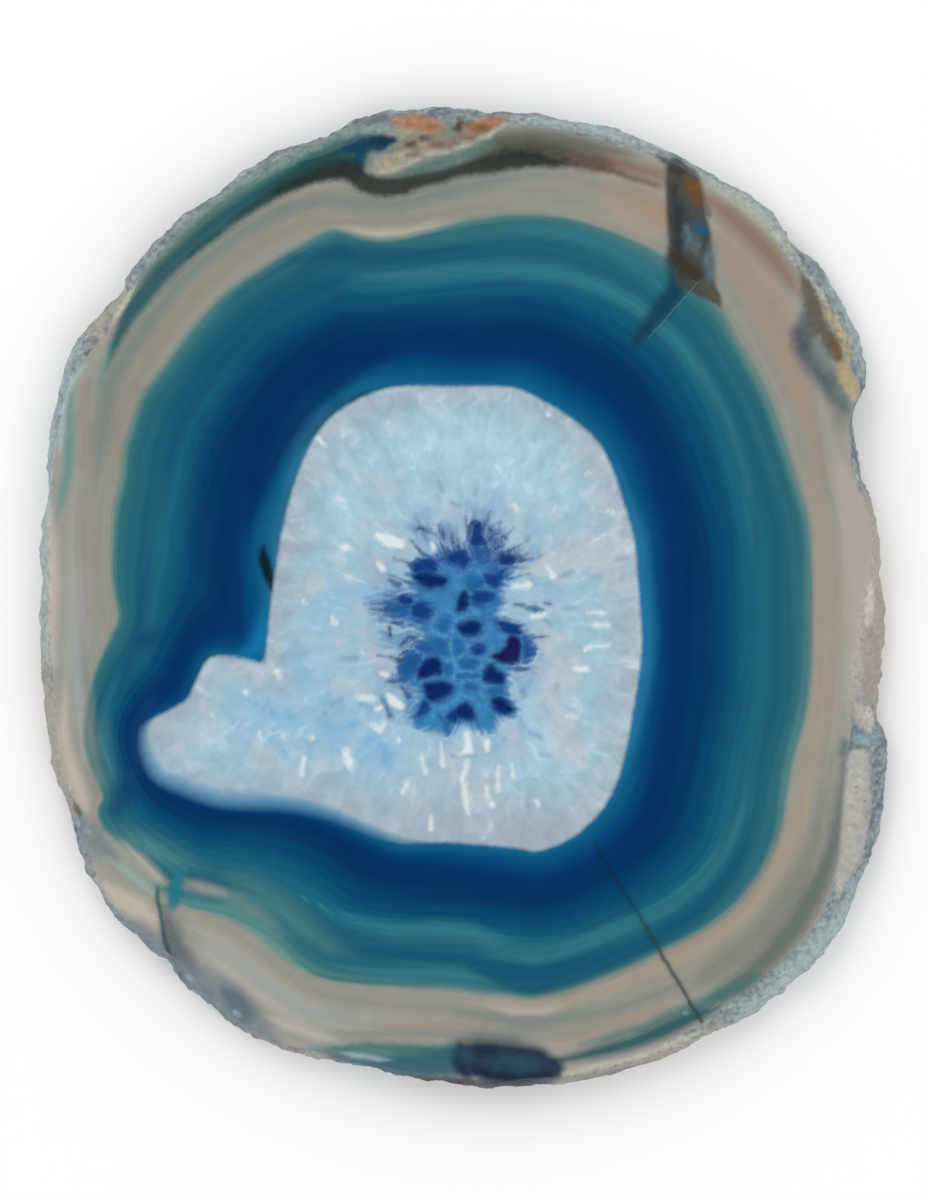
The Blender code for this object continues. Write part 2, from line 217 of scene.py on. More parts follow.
# Layers of the dyed stone that took more or less of the dye than those beside them.
LAYERS = (
    Stain("petrol_layer", "#0f4f6b", (
        (-370, 100, -4, -358, 160, 8, -340, 216, 16, -310, 266, 19, -272, 310, 19, -226, 348, 18,
         -176, 374, 14, -120, 384, -3),
    ), soft=1.6, streak=0.6, strength=0.75),
    Stain("pale_layer", "#367a88", (
        (-180, 374, -9, -110, 389, 5, -50, 391, 7, 0, 397, 8, 60, 399, 9, 120, 392, 9, 170, 376, 8,
         210, 354, 8, 250, 321, 7, 290, 272, 6, 320, 216, 4, 342, 150, 2, 350, 60, -3),
        (-170, -380, -2, -120, -398, 4, -80, -406, 8, -30, -404, 10, 10, -408, 10, 50, -426, 9, 85, -433, 9,
         120, -425, 8, 170, -410, 8, 210, -395, 7, 250, -374, 7, 290, -342, 7, 320, -302, 5, 344, -250, 2,
         360, -170, -4),
        (-160, -446, -2, -100, -456, 5, -40, -456, 8, 0, -460, 8, 36, -472, 2),
        (30, 446, -4, 80, 449, 4, 140, 439, 7, 190, 418, 9, 230, 390, 8, 264, 356, -2),
    ), soft=1.1, streak=0.4, strength=0.75),
    Stain("dark_layer", "#0b4e6e", (
        (-310, 330, -3, -260, 380, 4, -210, 410, 7, -150, 422, 8, -80, 418, 7, -10, 424, 3, 40, 430, -4),
        (160, 340, -4, 200, 323, 4, 245, 286, 6, 285, 230, 5, 310, 165, 1, 325, 100, -4),
        (-120, -428, 2, -60, -434, 5, 0, -438, 4, 50, -460, 13, 85, -467, 16, 120, -458, 14, 160, -446, 12,
         200, -432, 12, 240, -411, 11, 284, -382, 9, 326, -336, 5, 355, -280, -3),
        (-375, 80, -3, -386, 20, 6, -390, -20, 6, -395, -50, 8, -413, -95, 7, -420, -140, -2),
    ), streak=0.7, strength=0.7),
    Stain("green_layer", "#4f8788", (
        (-310, -332, -5, -260, -348, 9, -225, -372, 13, -195, -400, 14, -160, -424, 7, -130, -436, -8),
        (-434, -120, -8, -439, -170, 6, -434, -220, 7, -428, -244, -2),
        (-424, -276, 0, -385, -298, 10, -350, -317, 9, -310, -330, -2),
    ), soft=1.6, streak=0.2, strength=0.65),
    Stain("light_line", "#46a0b0", (
        (-250, -349, -3, -200, -362, 1, -160, -380, 1.5, -125, -392, 1.5, -60, -395, -3),
        (-433, -155, -3, -432, -190, 1.5, -426, -225, -3),
    ), soft=0.4, ragged=0.0, strength=0.45),
    Stain("deep_layer", "#00295a", (
        (-264, 46, -12, -262, 90, 6, -248, 146, 19, -226, 198, 24, -190, 246, 24, -144, 280, 20,
         -96, 296, 9, -46, 300, -12),
    ), soft=1.2, streak=0.4),
    Stain("glow", "#2a80ad", (
        (184, 168, -4, 200, 120, 3, 214, 70, 7, 219, 15, 8, 223, -40, 8, 221, -80, 8, 214, -126, 6,
         206, -173, 3, 194, -217, -3),
    ), soft=1.2, streak=0.1, strength=0.65),
    Stain("green_edge", "#123f44", (
        (-208, 164, -3, -184, 202, 3, -152, 233, 4, -115, 250, 2, -75, 259, -4),
    ), soft=0.6, ragged=0.2),
    Stain("navy_pool", "#0e3c6a", (
        (-374, -102, -6, -386, -135, 8, -398, -175, 9, -403, -210, 8, -410, -240, 14, -420, -258, 2),
        (-388, -52, 6, -376, -47, 4),
    ), soft=1.5, ragged=0.3, streak=0.3),
    Stain("lens", "#1179ae", (
        (-240, 6, -7, -242, -32, 5, -248, -56, 11, -264, -70, 4),
    ), soft=1.5, ragged=0.0, strength=0.95),
    Stain("fault_shade", "#113b4e", (
        (250, 424, 2, 254, 404, 9, 262, 384, 12, 254, 367, 12, 240, 350, 11.5, 226, 332, 10, 213, 316, 7,
         202, 300, 0, 192, 284, -9),
    ), ragged=0.2),
    Stain("lobe_line", "#0b3a62", (
        (-386, -150, -2, -359, -135, 2.5, -338, -117, 3, -323, -90, 3, -312, -72, 1, -286, -65, -3),
    ), soft=0.45, ragged=0.0, strength=0.75),
    Stain("lens_line", "#58a6c4", (
        (-302, -71, -1, -275, -71, 1, -246, -79, 1),
    ), soft=0.25, ragged=0.0, strength=0.7),
)

# Layers and markings of the undyed stone, in the order in which each covers the ones before it.
STAINS = (
    Stain("cream", "#918a7e", (
        (-426, 140, 2, -418, 200, 7, -402, 250, 9, -376, 304, 9, -348, 346, 9, -312, 385, 9, -274, 415, 9,
         -236, 437, 8, -190, 456, 6, -130, 455, 5, -70, 458, 6, -10, 470, 4, 60, 480, 2),
        (-462, 160, 4, -460, 220, 8, -454, 260, 5),
        (-306, 430, -2, -260, 457, 3, -210, 480, 4, -160, 493, 3, -130, 486, 1),
    ), soft=0.9, streak=0.4, strength=0.8),
    Stain("sand", "#a59787", (
        (0, -487, -6, 40, -492, 4, 80, -496, 6, 120, -490, 8, 160, -478, 10, 200, -465, 10, 240, -448, 12,
         280, -428, 13, 310, -410, 13, 343, -382, 14, 373, -344, 14, 394, -304, 14, 410, -258, 12,
         426, -190, 12, 438, -120, 14, 443, -40, 16, 442, 40, 14, 432, 110, 9, 418, 160, 2),
        (140, 482, -6, 185, 474, 14, 225, 458, 22),
        (-330, -386, 0, -300, -410, 8, -270, -432, 8, -236, -458, 6, -196, -478, 2, -150, -490, -5),
    ), soft=1.0, streak=0.4, strength=0.75),
    Stain("silver", "#a2aaa3", (
        (-330, -396, 2, -304, -422, 16, -272, -450, 20, -236, -478, 18, -200, -498, 14, -150, -512, 10,
         -90, -516, 6, -30, -514, -4),
        (-476, 100, -8, -474, 20, 10, -472, -60, 12, -466, -140, 8, -460, -200, 0),
    ), soft=1.4, streak=0.5, strength=0.7),
    Stain("pearl", "#b3a9a1", (
        (444, 200, -4, 458, 156, 8, 472, 110, 19, 480, 60, 23, 482, 10, 20, 478, -50, 13, 474, -120, 8,
         480, -146, 4),
        (-330, -410, -5, -296, -444, 3, -260, -474, 4, -220, -502, 3, -190, -516, -5),
    ), soft=1.2, streak=0.3, strength=0.8),
    Stain("blush", "#a58d7a", (
        (320, 436, 14, 344, 398, 22, 376, 344, 22, 398, 284, 16, 416, 226, 10, 434, 164, 4, 448, 100, -9),
        (140, 500, -8, 180, 496, 8, 220, 482, 16, 246, 466, 16),
        (240, -434, 2, 290, -412, 3, 340, -373, 2, 386, -310, -2),
        (100, -539, -2, 130, -534, 3, 165, -525, 4, 200, -513, 4, 240, -499, 2, 264, -486, -2),
        (-160, -514, -3, -90, -520, 3, -20, -520, 2, 20, -522, -3),
        (-130, -537, -1, -80, -540, 2, -24, -536, -1),
    ), soft=0.9, streak=0.6, strength=0.65),
    Stain("moss", "#76837c", (
        (-449, 120, -3, -440, 190, 10, -430, 254, 12, -410, 296, 11, -380, 339, 10, -344, 384, 9,
         -310, 414, 9, -270, 443, 9, -220, 469, 9, -170, 482, 8, -125, 479, 9, -80, 478, 9, -30, 492, 9,
         30, 504, 7, 90, 512, 2, 130, 510, -5),
        (-466, -20, -5, -459, -90, 2, -453, -140, 4, -451, -180, 6, -446, -215, 5, -442, -240, 0),
        (-180, -528, -2, -120, -530, 3, -60, -530, 3, -20, -532, -2),
        (-30, -500, -2, 30, -510, 5, 80, -518, 9, 120, -512, 5, 160, -505, 4, 200, -494, 4, 240, -478, 3,
         270, -464, -1),
    ), soft=0.9, streak=0.6, strength=0.8),
    Stain("slate", "#80837b", (
        (275, -476, 2, 300, -458, 15, 330, -436, 17, 360, -410, 17, 386, -376, 16, 410, -336, 13,
         428, -295, 10, 440, -240, 6, 448, -180, -3),
        (446, 246, 6, 460, 216, 10, 468, 186, -10),
    ), soft=1.2, ragged=0.2, streak=0.5, strength=0.8),
    Stain("olive", "#5f6b65", (
        (286, -498, -3, 310, -484, 8, 344, -462, 12, 376, -432, 13, 402, -400, 14, 422, -366, 14,
         438, -334, 11, 449, -300, 9, 456, -260, 6, 461, -210, 3, 462, -174, 1),
    ), soft=1.0, ragged=0.3, streak=0.3),
    Stain("ivory", "#c2b8a8", (
        (-160, 450, -4, -130, 445, 2.5, -105, 442, 4, -70, 444, 3.5, -35, 452, 2, 0, 460, -4),
        (20, -493, -4, 60, -502, 2, 100, -502, 2, 130, -492, -4),
        (-250, -504, -2, -216, -519, 4, -176, -532, 4, -146, -542, -2),
        (-482, -100, -2, -486, -160, 6, -480, -194, 8, -472, -220, 9, -463, -244, 7, -458, -256, 2),
        (-503, 110, 2, -499, 40, 6, -500, -30, 6, -498, -80, 2),
        (-446, -342, 1, -422, -360, 10, -400, -376, 15, -382, -392, 12, -372, -406, 2),
        (-434, -289, 0, -414, -304, 6, -393, -321, 7, -374, -339, 6, -362, -346, 2),
    ), soft=0.9, streak=0.1),
    Stain("sage", "#7a978f", (
        (-310, -354, -2, -280, -365, 8, -254, -381, 8, -230, -400, 3, -210, -420, -8),
    ), soft=1.4, streak=0.2, strength=0.7),
    Stain("tongue", "#a5a094", (
        (-339, -348, 4, -318, -352, 6, -296, -358, 3, -276, -366, -7),
        (-452, -326, 2, -426, -340, 3, -406, -353, 2, -380, -369, -2),
    ), soft=1.0, streak=0.1, strength=0.8),
    Stain("sea_line", "#548f8c", (
        (-360, -363, 2, -320, -372, 5, -290, -380, 6, -260, -395, 6.5, -235, -417, 6, -210, -440, 5,
         -175, -461, -3),
        (-420, -283, 0, -394, -298, 4, -366, -314, 4, -340, -332, 2),
        (-478, 250, 3, -478, 200, 5, -480, 155, 6, -488, 120, 5, -496, 90, -2),
        (-446, 246, 0, -436, 280, 4, -426, 306, 4),
    ), streak=0.2, strength=0.8),
    Stain("mint", "#93aba4", (
        (-448, -308, 2, -420, -324, 5, -392, -347, 5, -377, -360, 3),
    ), soft=0.6, ragged=0.2),
    Stain("aqua_floor", "#4b7f86", (
        (-190, -544, -2, -150, -550, 7, -110, -554, 12, -70, -556, 14, -30, -556, 14, -14, -554, 13),
    ), soft=0.9),
    Stain("pine", "#447069", (
        (-410, 364, -6, -382, 394, 6, -360, 416, 9, -330, 444, 11, -300, 469, 12, -270, 489, 12,
         -240, 508, 12, -210, 525, 11, -180, 540, 10, -150, 554, 9, -124, 562, 6),
        (-200, -546, -6, -160, -551, 2, -120, -544, 3, -80, -549, 5, -40, -552, 7, -16, -554, 8),
    ), soft=0.6, ragged=0.3, streak=0.3),
    Stain("teal_floor", "#44706f", (
        (140, -543, 0, 180, -533, 4, 220, -521, 5, 250, -508, 7, 290, -494, 9, 330, -475, 8, 356, -460, 3),
    ), ragged=0.2, streak=0.3),
    Stain("spruce", "#1f565e", (
        (-434, 274, -2, -422, 310, 6, -407, 342, 10, -388, 368, 12, -365, 394, 11.5, -342, 415, 11,
         -320, 435, 11.5, -296, 454, 12, -270, 472, 12, -240, 492, 12, -210, 510, 12, -180, 528, 13,
         -154, 538, 15, -130, 540, 16, -122, 532, 10),
        (110, -564, 3, 160, -552, 7, 200, -542, 8, 240, -527, 9, 270, -513, 8, 290, -505, 6, 310, -498, 1),
    ), soft=0.7, streak=0.2, strength=0.92),
    Stain("blue_floor", "#325f70", (
        (-180, -550, -5, -146, -560, 3, -110, -566, 8, -74, -568, 12, -40, -567, 16, -14, -565, 18),
    ), soft=0.7, ragged=0.3, streak=0.4, strength=0.9),
    Stain("seam_shade", "#213f40", (
        (-310, 436, -8, -270, 466, 4, -230, 492, 9, -190, 514, 13, -156, 526, 16, -134, 520, 12),
    ), ragged=0.3, streak=0.3, strength=0.8),
    Stain("curl", "#114459", (
        (-170, 538, -6, -140, 546, 7, -122, 550, 12, -104, 552, 13, -88, 551, 9),
        (-126, 548, 8, -128, 530, 7, -126, 516, 3),
    ), soft=0.6, ragged=0.3, strength=0.95),
    Stain("curl_shade", "#0e3347", (
        (-126, 547, -2, -110, 553, 5, -96, 554, 7, -84, 552, 5), (-336, 412, 0, -310, 433, 2, -286, 449, 0),
    ), soft=0.6, ragged=0.3, strength=0.9),
    Stain("dusk", "#676b61", (
        (24, 560, 2, 50, 554, 14, 80, 555, 16, 110, 552, 16, 140, 548, 14, 170, 543, 9, 200, 538, 2,
         230, 532, -10),
        (140, 538, 4, 170, 532, 4, 200, 526, 2),
    ), soft=1.0, ragged=0.2, streak=0.5, strength=0.9),
    Stain("rosewood", "#8a6d5c", (
        (110, 538, -9, 140, 534, 8, 180, 528, 10, 210, 520, 10, 240, 512, 8),
        (296, 484, 6, 320, 467, 11, 340, 450, 12, 360, 430, 12, 380, 407, 11, 396, 386, 8, 408, 366, -2),
    ), soft=1.1, ragged=0.2, streak=0.3, strength=0.8),
    Stain("seam_end", "#443f36", (
        (6, 534, 3, 30, 540, 10, 50, 542, 12, 80, 544, 12, 110, 540, 11, 140, 534, 8, 170, 528, 4,
         190, 522, -6),
    ), soft=1.4, ragged=0.4, grain=0.12),
    Stain("seam", "#262f2b", (
        (-254, 475, -6, -220, 497, 4, -200, 504, 6, -180, 512, 8.5, -160, 517, 10, -140, 519, 12,
         -130, 512, 12, -120, 504, 12.5, -105, 499, 12, -90, 499, 12, -75, 500, 12, -60, 505, 10.5,
         -40, 510, 9.5, -25, 512, 9, -10, 518, 8, 10, 522, 10, 30, 526, 12, 50, 530, 12, 70, 532, 11,
         90, 531, 9, 110, 529, 7, 130, 527, 3, 155, 524, -5),
    ), soft=0.6, ragged=0.3, streak=0.1, strength=0.92, grain=0.1),
    Stain("umber", "#5b493d", (
        (126, 528, 0, 140, 525, 4, 166, 521, 4.5, 184, 517, 3, 204, 509, 3, 224, 504, 2, 238, 499, 2),
    ), soft=0.6, ragged=0.2, grain=0.08),
    Stain("side_fault", "#5f5c4e", (
        (412, 392, 3, 418, 378, 9, 422, 362, 11, 425, 344, 12, 426, 326, 12),
        (434, 332, 8, 442, 316, 10, 450, 300, 9, 456, 288, 4),
    ), soft=0.6, ragged=0.4, strength=0.9, grain=0.12),
    Stain("teal_strip", "#42706d", (
        (-94, 509, -5, -70, 517, 3, -46, 524, 7, -26, 529, 8, -6, 535, 7, 16, 543, 4, 32, 553, 3,
         40, 560, 1),
    ), soft=1.0, ragged=0.3, strength=0.9),
    Stain("basalt", "#877d6f", (
        (-90, 544, 2, -72, 550, 8, -50, 556, 12, -24, 562, 12, 2, 568, 11, 22, 570, 9, 42, 576, 5),
    ), soft=0.5, ragged=0.4, strength=0.92, grain=0.2),
    Stain("wedge_halo", "#76897f", (
        (-115, 519, 3, -115, 530, 4, -109, 539, 3), (-94, 542, 2, -80, 546, 3, -76, 556, 2),
        (-26, 563, 3, -14, 564, 3), (-124, 566, 2, -90, 566, 3, -74, 564, 1), (-24, 578, 2, -16, 575, 4),
    ), soft=0.4, ragged=0.3, grain=0.1),
    Stain("smoke", "#5b666b", (
        (412, 342, 4, 412, 324, 13, 415, 306, 15, 426, 286, 15, 440, 268, 14, 452, 250, 13, 464, 232, 7,
         470, 216, -4),
        (-363, -374, 0, -358, -398, 9, -350, -426, 14, -337, -454, 16),
    ), soft=1.0, ragged=0.25, streak=0.2, strength=0.88, grain=0.04),
    Stain("smoke_dark", "#48595f", (
        (406, 320, 5, 412, 308, 9, 416, 294, 4), (430, 278, 3, 442, 258, 4),
    ), soft=0.9, ragged=0.6, strength=0.8),
    Stain("smoke_light", "#7c878a", (
        (428, 314, 2, 430, 298, 6, 440, 278, 4), (454, 254, 2, 460, 242, 3),
    ), ragged=0.6, strength=0.7),
    Stain("ash", "#77838a", (
        (-416, -388, 4, -395, -406, 15, -376, -426, 17, -362, -444, 10),
        (-342, -450, 10, -316, -470, 19, -290, -489, 23, -264, -508, 21, -242, -526, 12, -224, -542, 3),
        (-466, -274, 9, -452, -290, 17, -438, -303, 14, -424, -313, 6),
    ), soft=1.1, ragged=0.3, strength=0.8, grain=0.06),
    Stain("dark_spot", "#576b76", (
        (-289, -478, 6, -278, -490, 14, -266, -506, 12), (-316, -476, 2, -308, -484, 3),
        (463, -178, 4, 462, -186, 3), (404, 420, 1, 408, 414, 1.5),
    ), soft=0.9, ragged=0.4, strength=0.75),
    Stain("rim_black", "#3b3b35", (
        (-110, -580, -2, -70, -585, 5, -20, -590, 7, 30, -593, 6, 90, -592, 4, 130, -586, -3),
    ), soft=0.5, ragged=0.4, grain=0.12),
    Stain("blot_haze", "#47585c", (
        (-14, -537, 0, 20, -536, 6, 60, -539, 6, 100, -552, 0),
    ), soft=1.5, strength=0.75),
    Stain("navy_blot", "#152f49", (
        (2, -554, 14, 18, -560, 22, 36, -564, 25, 60, -566, 24, 86, -568, 22, 108, -572, 14),
        (-4, -546, 7, -3, -564, 11, 4, -576, 10),
    ), soft=0.7, streak=0.1, strength=0.95, grain=0.05),
    Stain("blot_dark", "#12263a", (
        (14, -574, 4, 34, -579, 7, 66, -584, 6, 102, -580, 4), (18, -552, 4, 36, -550, 3),
    ), ragged=0.5, strength=0.8),
    Stain("blot_light", "#2b5465", (
        (52, -562, 6, 70, -567, 9, 86, -568, 6), (-12, -550, 4, 4, -556, 6), (32, -564, 2, 40, -570, 3),
    ), soft=1.1, ragged=0.7, strength=0.75),
    Stain("drop", "#267688", (
        (-345, -330, 6, -348, -348, 8, -351, -366, 7.5, -353, -374, 6),
    ), soft=0.45, strength=0.9),
    Stain("frost", "#7f978e", (
        (-426, 336, -3, -404, 369, 1, -384, 399, 1.5, -360, 424, 2, -336, 450, 2, -304, 480, 2,
         -270, 503, 2, -230, 522, 2, -190, 542, 2, -155, 560, 2.5, -123, 569, 3, -90, 569, 0),
    ), soft=0.6, ragged=0.4, strength=0.75, grain=0.1),
    Stain("hoar", "#aab0a5", (
        (286, 514, 2, 310, 500, 7, 340, 480, 9, 370, 454, 8, 394, 428, 6, 410, 404, 2),
    ), soft=0.6, ragged=0.4, grain=0.1),
    Stain("ice_line", "#a3bcbf", (
        (-462, 280, 2, -476, 260, 3, -486, 230, 3, -489, 190, 3, -493, 150, -4),
        (-164, -549, -4, -136, -555, 2.5, -104, -560, 2.5, -70, -563, -4), (-473, -270, 2, -469, -276, 2),
        (-458, -282, 1.5, -454, -286, 1.5), (-336, -460, 2, -331, -463, 2), (-278, -503, 2, -272, -507, 2),
        (269, -504, 1, 271, -505, 1),
    ), soft=0.4, ragged=0.2, strength=0.8),
    Stain("shell_line", "#b9b6a6", (
        (122, -579, 2, 160, -570, 3.5, 200, -561, 3, 240, -548, 3.5, 274, -533, 3, 300, -524, -3),
        (-102, 517, 2, -86, 520, 2, -70, 526, 1.5, -54, 533, 1.5),
        (-44, 539, 2, -30, 540, 2, -18, 541, 1.5), (-10, 545, 1, 8, 550, 1.5),
        (16, 557, 1.5, 30, 560, 3, 38, 568, 3, 49, 574, 2),
        (410, 399, 0, 426, 382, 2.5, 438, 360, 2.5, 446, 346, 0), (473, 170, 0, 479, 144, 2.5),
        (-398, 384, 0, -409, 364, 3.5, -420, 344, 3.5, -429, 328, 0),
    ), soft=0.35, ragged=0.3, grain=0.1),
    Stain("wedge", "#a09b82", (
        (-103, 523, 6, -90, 528, 7, -78, 534, 6, -68, 542, 4), (-54, 549, 4, -48, 547, 4),
        (-78, 567, 1.5, -50, 566, 1.5, -32, 565, 1),
    ), soft=0.5, ragged=0.5, strength=0.9, grain=0.2),
    Stain("plum", "#7c635a", (
        (-68, 536, 2, -58, 540, 4.5), (-37, 549, 3.5, -26, 550, 4.5), (-18, 548, 3, -8, 552, 3),
        (-4, 556, 2, 14, 558, 3.5), (2, 573, 3, 11, 575, 4), (28, 569, 2, 32, 572, 2),
    ), soft=0.4, ragged=0.4, grain=0.15),
    Stain("grit", "#433c31", (
        (-70, 549, 2.5, -60, 552, 3), (-50, 558, 3, -40, 558, 2.5), (-12, 568, 2, -5, 570, 4.5, -4, 582, 3),
        (-481, -242, 1.5, -473, -252, 3, -466, -262, 3), (486, 259, 3, 486, 252, 3),
        (234, 538, 1.5, 246, 529, 3.5),
    ), soft=0.35, ragged=0.3),
    Stain("rust", "#a67250", (
        (-83, 578, 5, -66, 578, 10, -48, 576, 10, -34, 573, 6),
        (8, 569, 3, 22, 574, 8, 36, 578, 7, 46, 583, 4),
    ), soft=0.6, ragged=0.5, strength=0.9, grain=0.15),
    Stain("fault", "#434846", (
        (258, 524, 12, 266, 504, 21, 270, 470, 24, 274, 440, 26, 277, 414, 26, 280, 394, 24, 292, 378, 15,
         304, 366, 8, 314, 352, 0),
    ), soft=0.45, ragged=0.05, strength=0.95, grain=0.1),
    Stain("fault_slate", "#29343e", (
        (256, 486, 3, 261, 468, 9, 261, 446, 7, 261, 426, 7, 260, 408, 4), (294, 438, 3, 293, 430, 3),
        (266, 464, 2, 272, 456, 3),
    ), soft=0.9, ragged=0.2),
    Stain("fault_blue", "#5f7b84", (
        (270, 450, 2, 276, 436, 6, 272, 426, 2), (286, 432, 2, 282, 422, 3),
        (301, 430, 1, 297, 414, 6, 300, 394, 6, 299, 384, 2),
    ), ragged=0.7, strength=0.75, grain=0.12),
    Stain("fault_brown", "#3c342b", (
        (248, 520, 3, 264, 516, 5), (258, 498, 4, 254, 488, 3), (256, 414, 6, 268, 402, 10, 284, 392, 8),
        (296, 476, 1.5, 298, 464, 1.5),
    ), soft=0.7, ragged=0.5, grain=0.1),
    Stain("fault_spot", "#17597e", (
        (284, 451, 5, 290, 445, 6),
    ), ragged=0.6, strength=0.9),
    Stain("ochre", "#6f5126", (
        (272, 507, 5, 278, 498, 11, 286, 485, 7), (18, 570, 4, 26, 573, 3),
        (446, 316, 2, 454, 302, 5, 458, 290, 2),
    ), soft=0.7, ragged=0.5, grain=0.15),
    Stain("fault_foot", "#58563f", (
        (290, 382, 2, 298, 374, 6, 308, 362, 3),
    ), soft=0.5, ragged=0.3, strength=0.8),
    Stain("straw", "#b0a07a", (
        (434, 362, 0, 447, 341, 4.5, 457, 325, 5, 465, 307, 4, 468, 290, 3),
        (457, 282, 4, 464, 270, 9, 470, 256, 9, 474, 242, 4),
    ), soft=0.5, ragged=0.4, strength=0.9, grain=0.15),
    Stain("plateau", "#b0ada5", (
        (482, -136, 6, 489, -148, 9, 492, -160, 6),
        (480, -196, 13, 479, -240, 17, 476, -280, 17, 471, -314, 14, 460, -340, 8, 454, -364, 3),
    ), soft=0.4, ragged=0.2, strength=0.88, grain=0.04),
    Stain("beige", "#9f968e", (
        (496, -40, 8, 499, -80, 13, 496, -124, 11), (489, -234, 1, 490, -270, 3),
    ), soft=0.4, ragged=0.2, grain=0.04),
    Stain("chalk", "#d0c6be", (
        (495, 16, 3, 493, -10, 5.5, 491, -32, 3), (490, -144, 3, 496, -154, 4),
    ), soft=0.4, ragged=0.25, strength=0.8, grain=0.06),
    Stain("smudge", "#86a2ad", (
        (476, -174, 4, 486, -170, 5, 502, -172, 5), (466, -344, 2, 472, -346, 6),
    ), soft=0.6, ragged=0.4, strength=0.8, grain=0.1),
)

# A brown leaf-shaped growth at the quartz's left edge.
LEAF = (
    Stain("leaf", "#0b1a1d", (
        (-244, 64, 2, -242, 46, 7, -235, 21, 6, -232, 7, 1),
    ), soft=0.4, strength=0.95),
    Stain("leaf_tail", "#6b5a2a", (
        (-233, 6, 1, -232, -10, 1, -232, -24, -1),
    ), soft=0.2, ragged=0.0, strength=0.7),
)

# Tones of the rind, which change from one side of the stone to another.
RIND_TONES = (
    Stain("rind_tan", "#a69e91", (
        (-515, -60, 2, -510, -120, 16, -498, -180, 16, -482, -244, 12),
        (500, 180, 0, 508, 80, 22, 510, -40, 26, 508, -120, 20),
        (130, -586, 8, 200, -572, 10, 270, -548, 10, 320, -522, 8), (-240, -546, 8, -170, -566, 6),
        (-445, 325, 10, -424, 360, 8),
    ), soft=1.8, ragged=1.4, strength=0.9),
    Stain("rind_pale", "#a3b3b4", (
        (-510, -70, 2, -516, 0, 12, -512, 80, 12, -504, 140, 8, -498, 240, 8, -474, 310, 7),
        (488, -340, 4, 474, -370, 10, 446, -410, 14, 410, -450, 15, 376, -480, 13, 340, -506, 8),
        (80, 580, 5, 140, 574, 9, 190, 562, 9, 240, 548, 5, 280, 530, 6, 340, 500, 8, 386, 468, 9,
         424, 424, 7, 452, 380, 7, 476, 334, 10, 490, 280, 7),
    ), soft=1.6, ragged=1.4, strength=0.8),
    Stain("rind_dark", "#4d5a61", (
        (-90, -582, 7, -40, -588, 8, 10, -588, 3), (-130, 576, 3, -90, 584, 6), (442, 386, 3, 426, 410, 2),
        (260, 540, 1, 300, 519, 1), (514, -156, 2, 516, -184, 2), (140, -589, 2, 240, -568, 2),
        (-320, 476, 3, -300, 492, 3),
    ), soft=0.7, ragged=0.6, strength=0.7),
)

# The lower edge of the quartz's left lobe, where it fades into the bands.
HALO = Stain("halo", "#6f9dc0", (
    (-392, -156, 4, -390, -190, 13, -369, -218, 19, -321, -239, 22, -248, -250, 22, -185, -259, 17,
     -110, -286, 7, -70, -294, 0),
), soft=1.6, ragged=0.0, strength=1.0)

FRACTURES = (
    Fracture((28.6, 38.3), (22.4, 31.5), 0.08, "#86a1a5", 0.32, 0.3, 0.0),
    Fracture((15.8, -29.9), (21.8, -39.4), 0.28, "#10283d", 0.30, 0.8, 0.22),
    Fracture((21.8, -39.4), (29.4, -52.4), 0.34, "#2f4345", 0.6, 0.8, 0.3),
    Fracture((-37.3, -35.3), (-36.4, -40.9), 0.36, "#37606a", 0.8, 0.7, 0.2),
    Fracture((-36.5, -40.7), (-34.7, -46.2), 0.42, "#3a545c", 0.8, 0.9, 0.3),
)

# Broad tones of the quartz middle.
QUARTZ_TONES = (
    Stain("sky", "#a9cfdf", (
        (-120, 170, 10, -40, 190, 30, 40, 180, 40, 100, 180, 20), (-90, 110, 10, 20, 150, 20, 120, 126, 14),
        (-150, 80, 10, -140, 120, 16), (80, -150, 14, 106, -200, 26, 60, -226, 10),
    ), soft=2.6, ragged=1.0, strength=0.8),
    Stain("azure", "#8bbbdb", (
        (-280, -124, 4, -240, -144, 20, -180, -156, 24, -130, -176, 24, -94, -196, 16),
        (-200, -60, 6, -190, -110, 14, -140, -140, 14), (-180, -20, 6, -140, 6, 8, -110, 14, 4),
    ), soft=2.4, ragged=1.4, strength=0.75),
    Stain("mist", "#bac6ca", (
        (64, 80, 4, 86, 42, 16, 130, 50, 24, 170, 60, 16),
        (90, -46, 8, 126, -80, 20, 104, -130, 14, 130, -180, 20),
        (-20, -196, 10, 10, -240, 18, 40, -220, 10), (60, 114, 6, 64, 102, 6),
        (-140, -190, 4, -140, -204, 4),
    ), soft=1.8, ragged=1.2, strength=0.8),
    Stain("lilac", "#b0b3c6", (
        (-112, 46, 6, -104, 26, 10), (-106, -68, 10, -98, -86, 9), (-10, 100, 4, 2, 94, 5),
        (60, -164, 4, 68, -176, 4), (-194, 170, 6, -174, 198, 6), (90, -70, 5, 92, -94, 6),
        (-60, -270, 6, 20, -280, 8, 80, -286, 10, 130, -266, 8),
    ), soft=1.2, ragged=0.8, strength=0.7),
    Stain("tint", "#5ba3d4", (
        (-97, -182, 3, -93, -204, 3), (-282, -146, 1, -274, -154, 3), (-234, -168, 1, -216, -192, 3),
        (-260, -126, 0, -230, -140, 2), (-118, -174, 2, -108, -168, 2), (-164, -160, 0, -134, -154, 2),
    ), ragged=0.9, strength=0.6),
)

